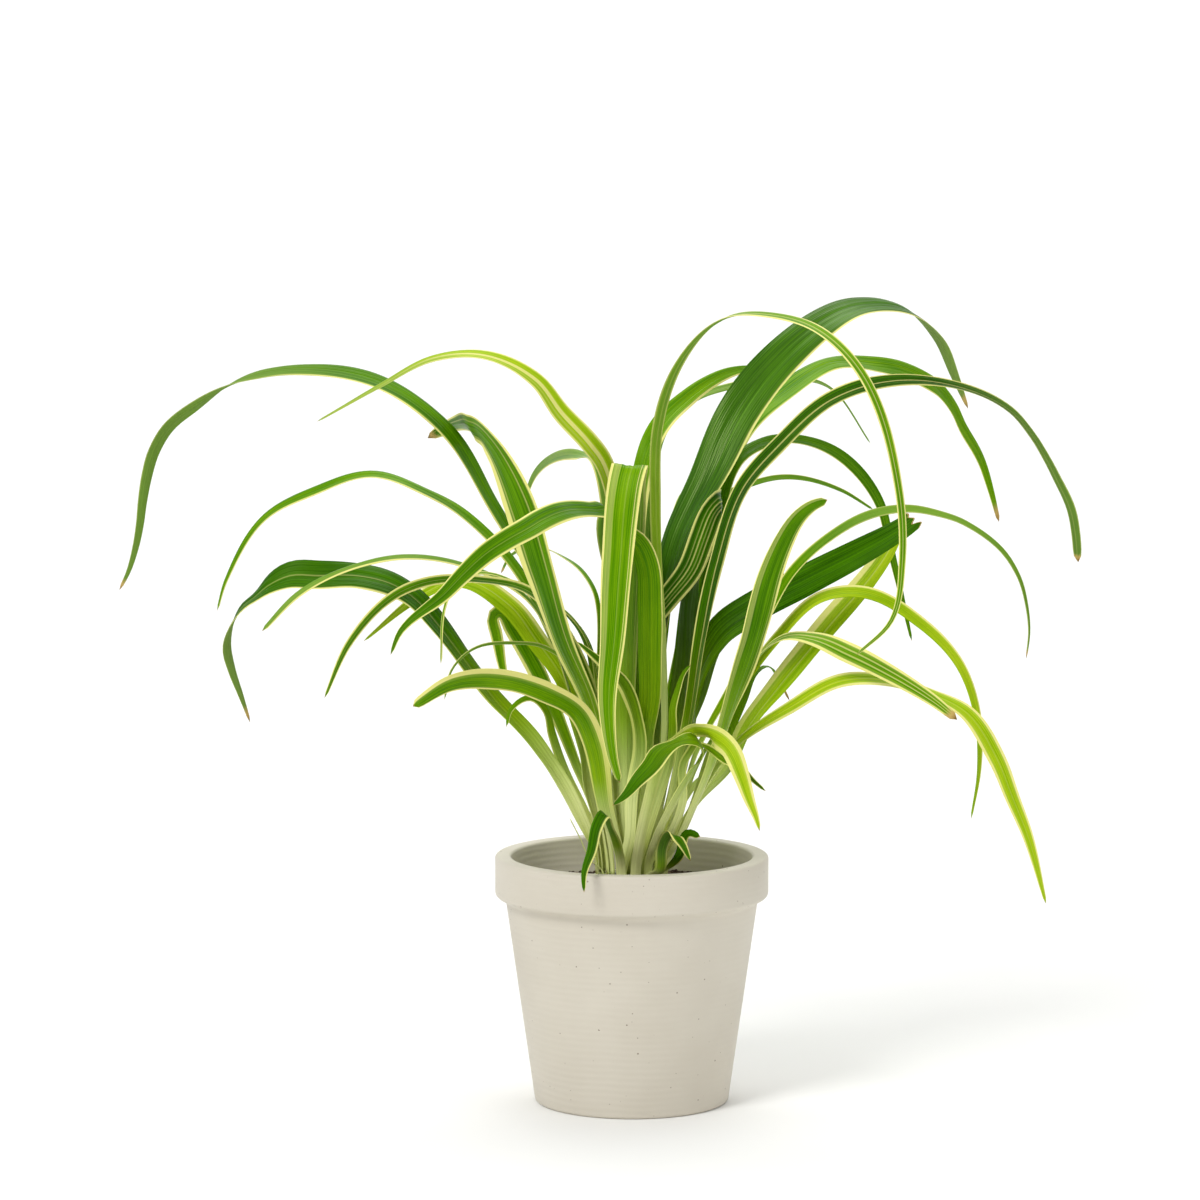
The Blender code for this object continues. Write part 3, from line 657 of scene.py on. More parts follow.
@dataclass(frozen=True)
class Sections:
    """Cross-sections along a midrib, as arrays."""

    shares: np.ndarray
    points: np.ndarray
    across: np.ndarray
    upper: np.ndarray
    length: float

    def at(self, share: np.ndarray) -> tuple[np.ndarray, np.ndarray, np.ndarray]:
        """Reads the sections between their own places.

        Args:
            share: Shares of the length.

        Returns:
            The point, the direction across and the upper direction at each share.
        """
        found = []
        for table in (self.points, self.across, self.upper):
            columns = [np.interp(share, self.shares, table[:, axis]) for axis in range(3)]
            found.append(np.stack(columns, axis=1))
        point, across, upper = found
        across /= np.linalg.norm(across, axis=1)[:, None]
        upper /= np.linalg.norm(upper, axis=1)[:, None]
        return point, across, upper


@dataclass(frozen=True)
class Seats:
    """The places on the crown where leaves stand, in rings from the middle outwards."""

    rings: tuple[tuple[float, int], ...] = ((3.0, 3), (5.2, 6), (7.4, 8), (9.6, 11), (11.8, 13), (14.0, 15))
    height: float = 92.3

    def point(self, seat: tuple[int, int]) -> Vector:
        """Finds a seat. Every second ring is turned by half a place.

        Args:
            seat: The ring and the place in it.

        Returns:
            The seat's point.
        """
        ring, place = seat
        radius, places = self.rings[ring]
        angle = 2.0 * math.pi * (place + 0.5 * (ring % 2)) / places
        return Vector((radius * math.cos(angle), radius * math.sin(angle), self.height))


SEATS = Seats()


def smoothstep(share: np.ndarray) -> np.ndarray:
    """Eases from 0 to 1.

    Args:
        share: Values, also outside 0 to 1.

    Returns:
        The eased values.
    """
    share = np.clip(share, 0.0, 1.0)
    return share * share * (3.0 - 2.0 * share)


def shown(name: str, shape: bmesh.types.BMesh, *finishes: bpy.types.Material) -> bpy.types.Object:
    """Makes a finished mesh an object that moves with the plant.

    Args:
        name: The piece's name.
        shape: The mesh, which is freed.
        finishes: Its materials, in slot order.

    Returns:
        The object.
    """
    mesh = bpy.data.meshes.new(name)
    shape.to_mesh(mesh)
    shape.free()
    for finish in finishes:
        mesh.materials.append(finish)
    piece = bpy.data.objects.new(name, mesh)
    bpy.context.scene.collection.objects.link(piece)
    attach(piece, BODY)
    LOG.info("%s: %d faces", name, len(mesh.polygons))
    return piece


BLADES = (
    Blade(
        "left_long", seat=(2, 4), widest=10, turns=(0, -5, -15, -20, -30, -35, -40, -35, 25, 35, 65),
        midrib=(
            (-12, 5, 122), (-20, 6, 166), (-39, 7, 212), (-56, 10, 241), (-75, 13, 271),
            (-99, 17, 288), (-134, 24, 294), (-159, 28, 289), (-178, 31, 278), (-188, 33, 270),
            (-194, 34, 260), (-197, 35, 250), (-199, 35, 239), (-200, 35, 231), (-202, 36, 221),
            (-205, 36, 211), (-209, 37, 203),
        ),
        tone=Tone.DEEP, low=0.05, brown=5, dull=0.6, grey_sheen_from=0.6,
    ),
    Blade(
        "left_second", seat=(4, 5), widest=7, turns=(0, 5, 5, 10, -25, -45),
        midrib=(
            (-14, 10, 121), (-25, 19, 166), (-44, 21, 210), (-68, 28, 235), (-82, 33, 243),
            (-105, 42, 250), (-129, 52, 243), (-152, 62, 230), (-168, 68, 204), (-172, 70, 191),
        ),
        low=0.07,
    ),
    Blade(
        "left_folded", seat=(2, 5), widest=16, turns=(0, -5, -5, 15, -25, -75),
        midrib=(
            (-9, -10, 123), (-17, -15, 163), (-28, -19, 189), (-36, -23, 215), (-45, -23, 244),
            (-53, -21, 262), (-59, -16, 270), (-64, -2, 272), (-68, 20, 272), (-76, 37, 269),
            (-83, 40, 265),
        ),
        tip=6, full_from=0.5, tone=Tone.DEEP, high=0.13, low=0.05,
        stripes=((0.25, 0.02, 0.5), (0.78, 0.02, 0.5)), brown=4, outward=True,
    ),
    Blade(
        "left_front_arch", seat=(0, 2), widest=12, turns=(0, -5, -15, -20, -40, -15),
        midrib=(
            (-3, -6, 115), (-5, -2, 172), (-7, 0, 212), (-10, -2, 232), (-9, -4, 239),
            (-14, -12, 240), (-21, -19, 241), (-28, -30, 241), (-35, -40, 239), (-41, -48, 236),
            (-49, -55, 232), (-57, -60, 227), (-66, -64, 219), (-73, -68, 212), (-89, -76, 199),
            (-93, -79, 190),
        ),
        full_from=0.5, tone=Tone.DEEP, low=0.07, high=0.06, stripes=((0.5, 0.02, 0.2),),
    ),
    Blade(
        "left_broad", seat=(5, 7), widest=15, turns=(0, -80, -45, -30, -25, -30, -45, -65, -20, 20, 25),
        midrib=(
            (-23, 2, 120), (-38, 3, 144), (-56, 4, 164), (-78, 5, 193), (-87, 6, 203),
            (-97, 7, 209), (-110, 8, 212), (-126, 9, 212), (-137, 10, 212), (-146, 10, 208),
            (-152, 11, 203), (-157, 11, 199), (-161, 11, 192), (-163, 11, 183), (-161, 11, 173),
            (-158, 11, 164), (-154, 11, 152),
        ),
        full_from=0.5, tone=Tone.DARK, stripes=((0.5, 0.025, 0.35),), low=0.03, brown=6, pale=75,
        young_to=1.0, dull=0.8,
    ),
    Blade(
        "left_thin_over", seat=(3, 5), widest=5, turns=(0, -5, -10, -15, -20, -80),
        midrib=(
            (-14, 0, 122), (-24, -1, 163), (-34, -4, 192), (-43, -5, 205), (-65, -7, 217),
            (-90, -9, 221), (-112, -12, 217), (-132, -14, 207), (-147, -15, 192),
        ),
        tip=1.5, full_from=0.8, tone=Tone.GREY, low=0.2,
    ),
    Blade(
        "left_mid_striped", seat=(1, 3), widest=6, turns=(0, 5, 15, 25, 60, 95),
        midrib=(
            (-10, -1, 123), (-15, -2, 163), (-27, -6, 192), (-41, -13, 208), (-60, -18, 213),
            (-80, -24, 213), (-95, -29, 207), (-111, -34, 190), (-121, -37, 168),
        ),
        tone=Tone.DEEP, low=0.14, high=0.14, stripes=((0.5, 0.04, 0.3),), outward=True,
    ),
    Blade(
        "front_left_arch", seat=(3, 7), widest=10, turns=(0, 5, 10, 30, 65, 90),
        midrib=(
            (-11, -16, 123), (-15, -20, 147), (-21, -26, 161), (-33, -38, 170), (-52, -58, 178),
            (-70, -78, 179), (-84, -93, 172),
        ),
        tip=3.5, low=0.22, high=0.06, pale=45, outward=True,
    ),
    Blade(
        "left_tiny", seat=(3, 6), widest=2.4, turns=(0, 10, 15, 25, 40, 50),
        midrib=(
            (-12, -5, 123), (-15, -5, 156), (-21, -5, 174), (-33, -8, 184), (-46, -21, 188),
            (-62, -29, 187), (-71, -33, 179), (-74, -35, 167),
        ),
        low=0.15, high=0.15,
    ),
    Blade(
        "hanging_needle", seat=(1, 2), widest=2.4, turns=(0, 5, 10, 15, 20, 15),
        midrib=(
            (-8, 3, 122), (-12, 4, 163), (-22, 3, 193), (-44, -4, 209), (-60, -13, 215),
            (-69, -15, 212), (-74, -16, 203), (-76, -16, 179),
        ),
        low=0.2, high=0.2,
    ),
    Blade(
        "lime_mid", seat=(4, 6), widest=10, turns=(0, -15, -30, -50, -45, -45),
        midrib=(
            (-13, 3, 107), (-18, 4, 126), (-19, 5, 142), (-27, 7, 169), (-38, 10, 185),
            (-49, 13, 199), (-68, 18, 209), (-86, 23, 202), (-109, 29, 183),
        ),
        tone=Tone.LIME, high=0.14, stripes=((0.5, 0.03, 0.4),),
    ),
    Blade(
        "folded_back", seat=(5, 6), widest=8, turns=(0, -5, -10, -15, -20, -30, -50, -65, -100, -130, -115),
        midrib=(
            (-16, 9, 118), (-23, 12, 136), (-32, 17, 158), (-38, 20, 171), (-48, 25, 188),
            (-53, 28, 195), (-56, 30, 193), (-55, 29, 186), (-54, 29, 181), (-53, 28, 175),
            (-51, 27, 166),
        ),
        tip=2.5, full_from=0.6, low=0.13, high=0.11, pale=55,
    ),
    Blade(
        "small_hook", seat=(5, 5), widest=4, turns=(0, -10, -20, -25, -5, 25),
        midrib=(
            (-18, 16, 113), (-26, 12, 130), (-29, 9, 138), (-32, 4, 148), (-35, -6, 160),
            (-41, -12, 165), (-48, -16, 161), (-50, -18, 154),
        ),
        low=0.12,
    ),
    Blade(
        "thin_arc", seat=(2, 3), widest=2.2, turns=(0, -10, -20, -30, 10, 25),
        midrib=(
            (-8, 8, 121), (-13, 13, 165), (-14, 30, 200), (-19, 41, 209), (-29, 61, 215),
            (-40, 87, 216), (-51, 109, 210), (-55, 117, 202),
        ),
        low=0.1, brown=4,
    ),
    Blade(
        "back_left", seat=(2, 2), widest=6, turns=(0, 15, 30, 35, -80, -120),
        midrib=(
            (-5, 11, 121), (-6, 22, 170), (-8, 31, 215), (-13, 39, 252), (-21, 65, 256),
            (-33, 102, 252), (-41, 126, 243), (-46, 143, 229),
        ),
        tone=Tone.GREY, low=0.08,
    ),
    Blade(
        "left_top", seat=(0, 1), widest=9, turns=(0, 10, 20, 5, 50, 55),
        midrib=(
            (-4, 4, 122), (-4, 8, 175), (-5, 8, 227), (-11, 2, 257), (-17, -1, 266), (-28, -2, 278),
            (-38, -3, 291), (-58, -5, 301), (-79, -7, 300), (-100, -9, 289), (-125, -11, 275),
        ),
        tone=Tone.LIME, low=0.06, high=0.07, stripes=((0.24, 0.08, 0.3), (0.5, 0.18, 0.8)),
        grey_sheen_from=0.78, dull=0.5,
    ),
    Blade(
        "centre_low_left", seat=(4, 9), widest=7, turns=(0, -5, -10, -15, 35, 40),
        midrib=(
            (-1, -16, 110), (0, -18, 128), (3, -20, 147), (1, -23, 161), (-4, -26, 173),
            (-11, -29, 180), (-22, -33, 190),
        ),
        full_from=0.6, tone=Tone.DARK, low=0.08, high=0.2, outward=True,
    ),
    Blade(
        "back_low_b", seat=(3, 3), widest=4, turns=(0, -5, -10, -20, -25, -30),
        midrib=(
            (-9, 10, 120), (-14, 17, 160), (-17, 22, 180), (-21, 27, 188), (-27, 35, 194),
        ),
        tone=Tone.DARK, stripes=((0.5, 0.1, 0.7),),
    ),
    Blade(
        "low_left_small", seat=(5, 10), widest=5, turns=(0, -15, -30, -35, -30, -30),
        midrib=(
            (-6, -21, 107), (-9, -29, 116), (-11, -37, 122), (-14, -44, 118), (-16, -53, 110),
            (-19, -61, 102), (-19, -62, 95),
        ),
        tone=Tone.DARK, low=0.14, pale=18,
    ),
    Blade(
        "low_left_sliver", seat=(4, 7), widest=1.6, turns=(0, 0),
        midrib=(
            (-17, -5, 99), (-21, -6, 108), (-25, -7, 116),
        ),
        low=0.1,
    ),
    Blade(
        "front_centre", seat=(1, 4), widest=15, turns=(0, 0, 0, 0, 5, 0),
        midrib=(
            (-2, -12, 116), (-3, -13, 160), (-3, -14, 205), (-2, -16, 240), (-2, -19, 252),
            (-1, -24, 259), (-3, -29, 252), (-6, -34, 222), (-8, -37, 191), (-10, -38, 167),
            (-8, -40, 146), (-5, -41, 135),
        ),
        tip=2.5, full_from=0.55, high=0.05, low=0.05,
        stripes=((0.12, 0.04, 0.7), (0.42, 0.015, 0.2), (0.82, 0.16, 0.4)),
    ),
    Blade(
        "centre_upright", seat=(3, 8), widest=11, turns=(0, 0, 0, 0, 0, 0),
        midrib=(
            (4, -12, 112), (6, -15, 132), (5, -17, 149), (7, -18, 165), (7, -19, 185),
            (7, -21, 203), (6, -23, 219), (2, -25, 228), (-2, -26, 231), (-7, -27, 231),
        ),
        tip=8, full_from=0.85, low=0.03, pale=70, outward=True,
    ),
    Blade(
        "thin_loop", seat=(1, 5), widest=6, turns=(0, -5, -20, -5, -5, 30),
        midrib=(
            (13, -11, 148), (12, -14, 188), (9, -16, 244), (10, -19, 273), (18, -30, 299),
            (34, -50, 317), (50, -67, 320), (71, -85, 314), (88, -100, 295), (99, -112, 256),
            (100, -118, 229), (96, -121, 208), (83, -121, 195),
        ),
        low=0.12, high=0.1, stripes=((0.5, 0.1, 0.5),), pale=140,
    ),
    Blade(
        "big_dark", seat=(1, 0), widest=18, turns=(0, 0, 10, 55, 30, -30),
        midrib=(
            (8, 3, 110), (10, 4, 154), (11, 6, 194), (18, 11, 226), (30, 18, 250), (43, 27, 276),
            (56, 35, 293), (77, 48, 311), (94, 59, 318), (114, 71, 316), (128, 80, 303),
            (135, 84, 288), (141, 88, 274),
        ),
        full_from=0.45, tone=Tone.DARK, high=0.03, brown=6, dull=0.75, gloss=0.5,
    ),
    Blade(
        "upper_mid", seat=(0, 0), widest=10, turns=(0, 20, 40, 60, 105, 95),
        midrib=(
            (3, 6, 121), (3, 12, 155), (2, 16, 190), (3, 18, 246), (9, 25, 267), (24, 45, 282),
            (39, 62, 290), (60, 88, 292),
        ),
        full_from=0.5, high=0.1,
    ),
    Blade(
        "upper_mid_back", seat=(1, 1), widest=4.5, turns=(0, 0, -5, -5, 10, 30),
        midrib=(
            (5, 11, 121), (5, 19, 155), (6, 25, 195), (8, 31, 238), (11, 42, 264), (23, 62, 278),
            (45, 92, 284), (68, 125, 285), (88, 150, 278), (105, 165, 254),
        ),
        tone=Tone.GREY, low=0.08,
    ),
    Blade(
        "striped_fold", seat=(3, 1), widest=13, turns=(0, 0, -5, -5, -5, -15, -35, -40, -10, 0, 0),
        midrib=(
            (12, 17, 121), (18, 20, 153), (22, 18, 178), (23, 14, 201), (28, 6, 222), (34, 2, 234),
            (35, -1, 240), (35, -5, 242), (32, -8, 239), (28, -9, 229), (23, -8, 216),
            (15, -5, 205), (5, -1, 192),
        ),
        tip=8, full_from=0.5, tone=Tone.DARK, low=0.05, high=0.08,
        stripes=((0.28, 0.02, 0.4), (0.42, 0.03, 0.65), (0.56, 0.015, 0.4), (0.7, 0.03, 0.65)),
        bands_from=0.55, outward=True,
    ),
    Blade(
        "front_mid", seat=(4, 10), widest=4, turns=(0, 5, 10, 15, -10, -15),
        midrib=(
            (5, -17, 108), (10, -21, 125), (15, -25, 142), (16, -28, 154), (16, -30, 163),
            (18, -31, 171), (20, -32, 177), (23, -33, 181),
        ),
        tone=Tone.DARK, low=0.12, outward=True,
    ),
    Blade(
        "right_back_broad", seat=(5, 2), widest=11, turns=(0, 0, 5, 5, 60, 100),
        midrib=(
            (12, 21, 121), (20, 29, 170), (29, 36, 220), (44, 48, 266), (66, 71, 284),
            (84, 90, 293), (104, 112, 291), (117, 126, 288), (129, 138, 282), (134, 144, 278),
            (140, 150, 270), (144, 154, 262), (151, 162, 251), (154, 166, 245), (157, 168, 236),
            (162, 174, 219),
        ),
        tip=1.5, brown=8, high=0.03,
    ),
    Blade(
        "right_long_arch", seat=(2, 7), widest=9, turns=(0, 5, 0, -5, 15, -10),
        midrib=(
            (13, -8, 112), (22, -9, 155), (27, -10, 188), (33, -12, 218), (43, -13, 248),
            (57, -10, 265), (78, -14, 284), (103, -18, 292), (128, -23, 290), (148, -26, 281),
            (157, -28, 271), (163, -29, 261), (166, -29, 255), (172, -30, 242), (174, -31, 232),
            (175, -31, 221),
        ),
        tip=4.5, tone=Tone.DARK, low=0.07, high=0.04, stripes=((0.5, 0.06, 0.7),), brown=3,
        dull=0.5, grey_sheen_from=0.72, outward=True,
    ),
    Blade(
        "right_mid_arch", seat=(4, 2), widest=6, turns=(0, 5, 5, 20, 105, 115),
        midrib=(
            (16, 16, 119), (26, 24, 176), (34, 30, 224), (42, 35, 255), (55, 46, 263),
            (70, 58, 263), (89, 75, 254), (104, 87, 235), (110, 93, 212), (119, 100, 175),
        ),
        tone=Tone.DEEP, high=0.03,
    ),
    Blade(
        "right_thin_arch", seat=(4, 3), widest=3, turns=(0, 0, 0, -5, 30, 70),
        midrib=(
            (8, 24, 119), (17, 38, 168), (29, 47, 219), (37, 53, 239), (49, 66, 244), (68, 94, 245),
            (90, 125, 237), (105, 145, 227),
        ),
        low=0.1,
    ),
    Blade(
        "broken_leaf", seat=(3, 0), widest=14, turns=(0, 5, 10, 50, 60, 40),
        midrib=(
            (17, 5, 118), (23, 5, 146), (25, 6, 168), (35, 7, 189), (47, 7, 198), (70, 10, 210),
            (92, 13, 221), (108, 15, 230), (115, 16, 235),
        ),
        tip=9, full_from=0.45, torn=4, tone=Tone.DARK, brown=0.6,
    ),
    Blade(
        "front_upright", seat=(4, 12), widest=12, turns=(0, -5, -5, -35, -70, -90),
        midrib=(
            (18, -12, 106), (25, -15, 123), (32, -20, 141), (39, -31, 166), (47, -37, 191),
            (54, -42, 218), (59, -46, 231), (64, -50, 240), (69, -54, 245), (75, -59, 248),
        ),
        tip=3, full_from=0.5, tone=Tone.DEEP, low=0.06, high=0.05,
        stripes=((0.14, 0.03, 0.5), (0.85, 0.16, 0.4)), outward=True,
    ),
    Blade(
        "right_thin_long", seat=(2, 0), widest=5, turns=(0, 20, 45, 35, 10, 5),
        midrib=(
            (18, -3, 115), (26, -6, 143), (41, -11, 172), (53, -14, 198), (64, -17, 217),
            (83, -22, 234), (95, -26, 240), (108, -29, 242), (121, -32, 240), (130, -35, 237),
            (144, -38, 227), (151, -40, 216), (154, -41, 205), (155, -42, 195), (154, -41, 184),
        ),
        tip=0.8, low=0.1, high=0.06, brown=4, dull=0.4, grey_sheen_from=0.5,
    ),
    Blade(
        "right_arch_lime", seat=(4, 0), widest=6, turns=(0, 20, 35, 45, 40, 30),
        midrib=(
            (23, 0, 117), (31, -1, 141), (45, -6, 171), (58, -7, 189), (75, -9, 205),
            (94, -12, 207), (115, -14, 195), (130, -16, 179), (137, -17, 160), (138, -17, 137),
            (135, -17, 117),
        ),
        tone=Tone.LIME, low=0.14,
    ),
    Blade(
        "lime_behind", seat=(5, 0), widest=11, turns=(0, 15, 25, 45, 70, 75),
        midrib=(
            (25, 9, 118), (39, 14, 134), (46, 17, 149), (59, 21, 166), (79, 29, 189), (96, 35, 208),
            (104, 38, 219), (109, 40, 229),
        ),
        tip=6, full_from=0.45, tone=Tone.LIME, low=0.24, stripes=((0.6, 0.05, 0.4),),
    ),
    Blade(
        "right_low_broad", seat=(3, 10), widest=10, turns=(0, 0, 0, 5, 65, 65),
        midrib=(
            (18, -9, 112), (25, -13, 136), (41, -20, 165), (50, -22, 183), (60, -27, 191),
            (72, -32, 191), (85, -38, 186), (98, -44, 180), (117, -52, 169), (126, -56, 162),
        ),
        tip=3, full_from=0.6, low=0.13, high=0.13, stripes=((0.36, 0.05, 0.6), (0.6, 0.05, 0.6)),
        brown=5,
    ),
    Blade(
        "right_low_long", seat=(5, 14), widest=9, turns=(0, 25, 40, 5, 65, 65),
        midrib=(
            (22, -4, 112), (29, -7, 128), (43, -14, 148), (63, -23, 163), (82, -30, 174),
            (101, -37, 175), (118, -43, 170), (131, -48, 163), (142, -52, 146), (148, -54, 131),
            (154, -56, 116), (161, -59, 90),
        ),
        full_from=0.65, tone=Tone.LIME, low=0.13, high=0.13, stripes=((0.5, 0.03, 0.3),), dull=0.6,
    ),
    Blade(
        "dark_narrow", seat=(5, 1), widest=4, turns=(0, 5, 10, 15, 5, -20),
        midrib=(
            (24, 15, 124), (35, 22, 134), (40, 25, 146), (46, 29, 159), (51, 32, 170),
            (56, 35, 172), (61, 38, 165), (65, 40, 157),
        ),
        brown=8,
    ),
    Blade(
        "back_stem", seat=(4, 1), widest=7, turns=(0, 0),
        midrib=(
            (16, 11, 119), (22, 13, 147), (28, 14, 162), (34, 17, 179), (45, 24, 196),
        ),
        tone=Tone.GREY, low=0.1,
    ),
    Blade(
        "front_low_left", seat=(4, 11), widest=12, turns=(0, 5, 10, 10, 15, 25, 75, 110, 70, 50, 50),
        midrib=(
            (9, -19, 108), (17, -30, 127), (24, -36, 140), (27, -41, 147), (25, -45, 152),
            (18, -50, 152), (11, -54, 149), (7, -57, 144), (2, -59, 139), (-3, -60, 133),
            (-8, -61, 129),
        ),
        full_from=0.8, tone=Tone.DARK, low=0.03, high=0.05, outward=True,
    ),
    Blade(
        "front_low_right", seat=(5, 11), widest=10, turns=(0, 10, 20, 30, 40, 40, 5, -55, -85, -90, -90),
        midrib=(
            (3, -20, 108), (7, -27, 127), (11, -32, 142), (14, -34, 149), (21, -37, 154),
            (27, -42, 156), (33, -49, 154), (38, -55, 150), (42, -60, 141), (45, -63, 132),
            (48, -66, 124), (49, -67, 120),
        ),
        full_from=0.75, tone=Tone.LIME, low=0.18, high=0.18, outward=True,
    ),
    Blade(
        "front_low_far", seat=(3, 9), widest=4, turns=(0, 0, -5, -15, -110, -115),
        midrib=(
            (15, -15, 110), (20, -21, 125), (20, -25, 140), (23, -28, 146), (25, -31, 149),
            (30, -35, 148), (36, -40, 144), (43, -44, 141), (47, -47, 137), (52, -50, 133),
        ),
        tone=Tone.DARK, low=0.13, high=0.13, outward=True,
    ),
    Blade(
        "low_right_small", seat=(5, 12), widest=5, turns=(0, -15, -30, -40, 50, 50),
        midrib=(
            (11, -17, 96), (12, -19, 106), (15, -24, 112), (19, -30, 110), (23, -35, 103),
        ),
        tone=Tone.DARK, low=0.14, high=0.14, pale=10,
    ),
    Blade(
        "low_right_tiny", seat=(5, 13), widest=4, turns=(0, -20, -40, -60, -80, -105),
        midrib=(
            (15, -13, 97), (19, -19, 103), (22, -22, 112), (27, -25, 111),
        ),
        tip=2.5, full_from=0.6, tone=Tone.DARK, low=0.1, outward=True, pale=10,
    ),
    Blade(
        "back_arch_a", seat=(3, 2), widest=9, turns=(0, 0),
        midrib=(
            (0, 14, 120), (-1, 25, 160), (-1, 38, 205), (-1, 72, 246), (-1, 105, 247),
            (0, 140, 229), (0, 162, 203), (0, 172, 176),
        ),
        low=0.1, high=0.1,
    ),
    Blade(
        "back_arch_b", seat=(2, 1), widest=8, turns=(0, 0),
        midrib=(
            (6, 14, 120), (10, 27, 160), (15, 41, 210), (21, 65, 238), (26, 92, 240),
            (30, 120, 225), (32, 140, 197),
        ),
        low=0.1, stripes=((0.5, 0.08, 0.6),),
    ),
)


@dataclass(frozen=True)
class Stoneware:
    """Matte glazed stoneware, thrown on a wheel: faint rings, iron specks and an even, dry sheen."""

    name: str = "matte_stoneware_glaze"
    body: str = "#DAD4C6"
    shade: str = "#C6BEAE"
    specks: str = "#6B5540"
    clouds_per_metre: float = 22.0
    ring_spacing: float = 2.6
    ring_drift: float = 4.0
    speck_spacing: float = 2.2
    speck_power: float = 5.0  # keeps most specks small
    speck_reach: float = 0.2  # the largest, as a share of the spacing
    speck_edge: float = 0.05
    speck_strength: float = 0.75
    pits_per_metre: float = 900.0
    roughness: float = 0.42
    cloud_roughness: float = 0.2
    relief: Depths = (0.3, 0.15)

    def dress(self) -> bpy.types.Material:
        """Builds the glaze.

        Returns:
            The material.
        """
        material, tree, shader = new_material(self.name)
        spot = add_node(tree, "TexCoord", output="Object")
        values = {"Vector": spot, "Scale": self.clouds_per_metre, "Detail": 4.0}
        clouds = add_node(tree, "TexNoise", values, "Fac")
        tints = {SHARE: clouds, FIRST: linear(self.body), SECOND: linear(self.shade)}
        glaze = add_node(tree, "Mix", tints, MIXED, data_type="RGBA")
        values = {"Vector": spot, "Scale": 1.0 / (self.speck_spacing * MM), "Randomness": 1.0}
        cells = add_node(tree, "TexVoronoi", values).node.outputs
        size = add_node(tree, "SeparateColor", (cells["Color"],))
        rare = add_node(tree, "Math", (size, self.speck_power), operation="POWER")
        reach = add_node(tree, "Math", (rare, self.speck_reach), operation="MULTIPLY")
        inside = add_node(tree, "Math", (reach, cells["Distance"]), operation="SUBTRACT")
        ends = {"From Min": 0.0, "From Max": self.speck_edge, "To Max": self.speck_strength}
        fleck = add_node(tree, "MapRange", {"Value": inside, **ends})
        flecked = {SHARE: fleck, FIRST: glaze, SECOND: linear(self.specks)}
        colored = add_node(tree, "Mix", flecked, MIXED, data_type="RGBA")
        roughnesses = (clouds, self.cloud_roughness, self.roughness)
        rough = add_node(tree, "Math", roughnesses, operation="MULTIPLY_ADD")
        tree.links.new(rough, shader.inputs["Roughness"])
        height = add_node(tree, "SeparateXYZ", (spot,), "Z")
        uneven = add_node(tree, "Math", (clouds, self.ring_drift * MM, height), operation="MULTIPLY_ADD")
        per_ring = 2.0 * math.pi / (self.ring_spacing * MM)
        turns = add_node(tree, "Math", (uneven, per_ring), operation="MULTIPLY")
        wave = add_node(tree, "Math", (turns,), operation="SINE")
        rings = add_node(tree, "Math", (wave, 0.5), operation="MULTIPLY")
        values = {"Vector": spot, "Scale": self.pits_per_metre, "Detail": 3.0}
        pitted = add_node(tree, "TexNoise", values, "Fac")
        relief = add_node(tree, "Math", (pitted, 0.5, rings), operation="MULTIPLY_ADD")
        surface(tree, shader, colored, relief, self.relief)
        return material


@dataclass(frozen=True)
class PottingMix:
    """Moist peat and bark: nearly black, with no shine, and paler where a fibre dries."""

    name: str
    wet: str = "#2A1B12"
    dry: str = "#57402C"
    grain: float = 1.6
    drying: tuple[float, float] = (0.42, 0.75)  # the noise's range from wet to dry
    roughness: float = 0.92
    relief: Depths = (0.8, 0.6)

    def dress(self) -> bpy.types.Material:
        """Builds the potting mix.

        Returns:
            The material.
        """
        material, tree, shader = new_material(self.name)
        spot = add_node(tree, "TexCoord", output="Object")
        values = {"Vector": spot, "Scale": 1.0 / (self.grain * MM), "Detail": 5.0}
        crumbs = add_node(tree, "TexNoise", values, "Fac")
        ends = {"From Min": self.drying[0], "From Max": self.drying[1]}
        share = add_node(tree, "MapRange", {"Value": crumbs, **ends})
        browns = {SHARE: share, FIRST: linear(self.wet), SECOND: linear(self.dry)}
        colored = add_node(tree, "Mix", browns, MIXED, data_type="RGBA")
        shader.inputs["Roughness"].default_value = self.roughness
        surface(tree, shader, colored, crumbs, self.relief)
        return material


@dataclass(frozen=True)
class SheathTissue:
    """The pale, firm tissue of the crown, with the brown rims of old leaf sheaths."""

    name: str = "crown_sheath_tissue"
    young: str = "#B9C486"
    old: str = "#8A6B42"
    fibres_per_metre: tuple[float, float, float] = (420.0, 420.0, 90.0)
    ageing: tuple[float, float] = (0.45, 0.7)  # the noise's range from young to old
    roughness: float = 0.55
    relief: Depths = (0.5, 0.3)

    def dress(self) -> bpy.types.Material:
        """Builds the tissue.

        Returns:
            The material.
        """
        material, tree, shader = new_material(self.name)
        spot = add_node(tree, "TexCoord", output="Object")
        stretched = add_node(tree, "Mapping", {0: spot, "Scale": self.fibres_per_metre})
        fibres = add_node(tree, "TexNoise", {"Vector": stretched, "Scale": 1.0, "Detail": 4.0}, "Fac")
        ends = {"From Min": self.ageing[0], "From Max": self.ageing[1]}
        share = add_node(tree, "MapRange", {"Value": fibres, **ends})
        tints = {SHARE: share, FIRST: linear(self.young), SECOND: linear(self.old)}
        colored = add_node(tree, "Mix", tints, MIXED, data_type="RGBA")
        shader.inputs["Roughness"].default_value = self.roughness
        surface(tree, shader, colored, fibres, self.relief)
        return material


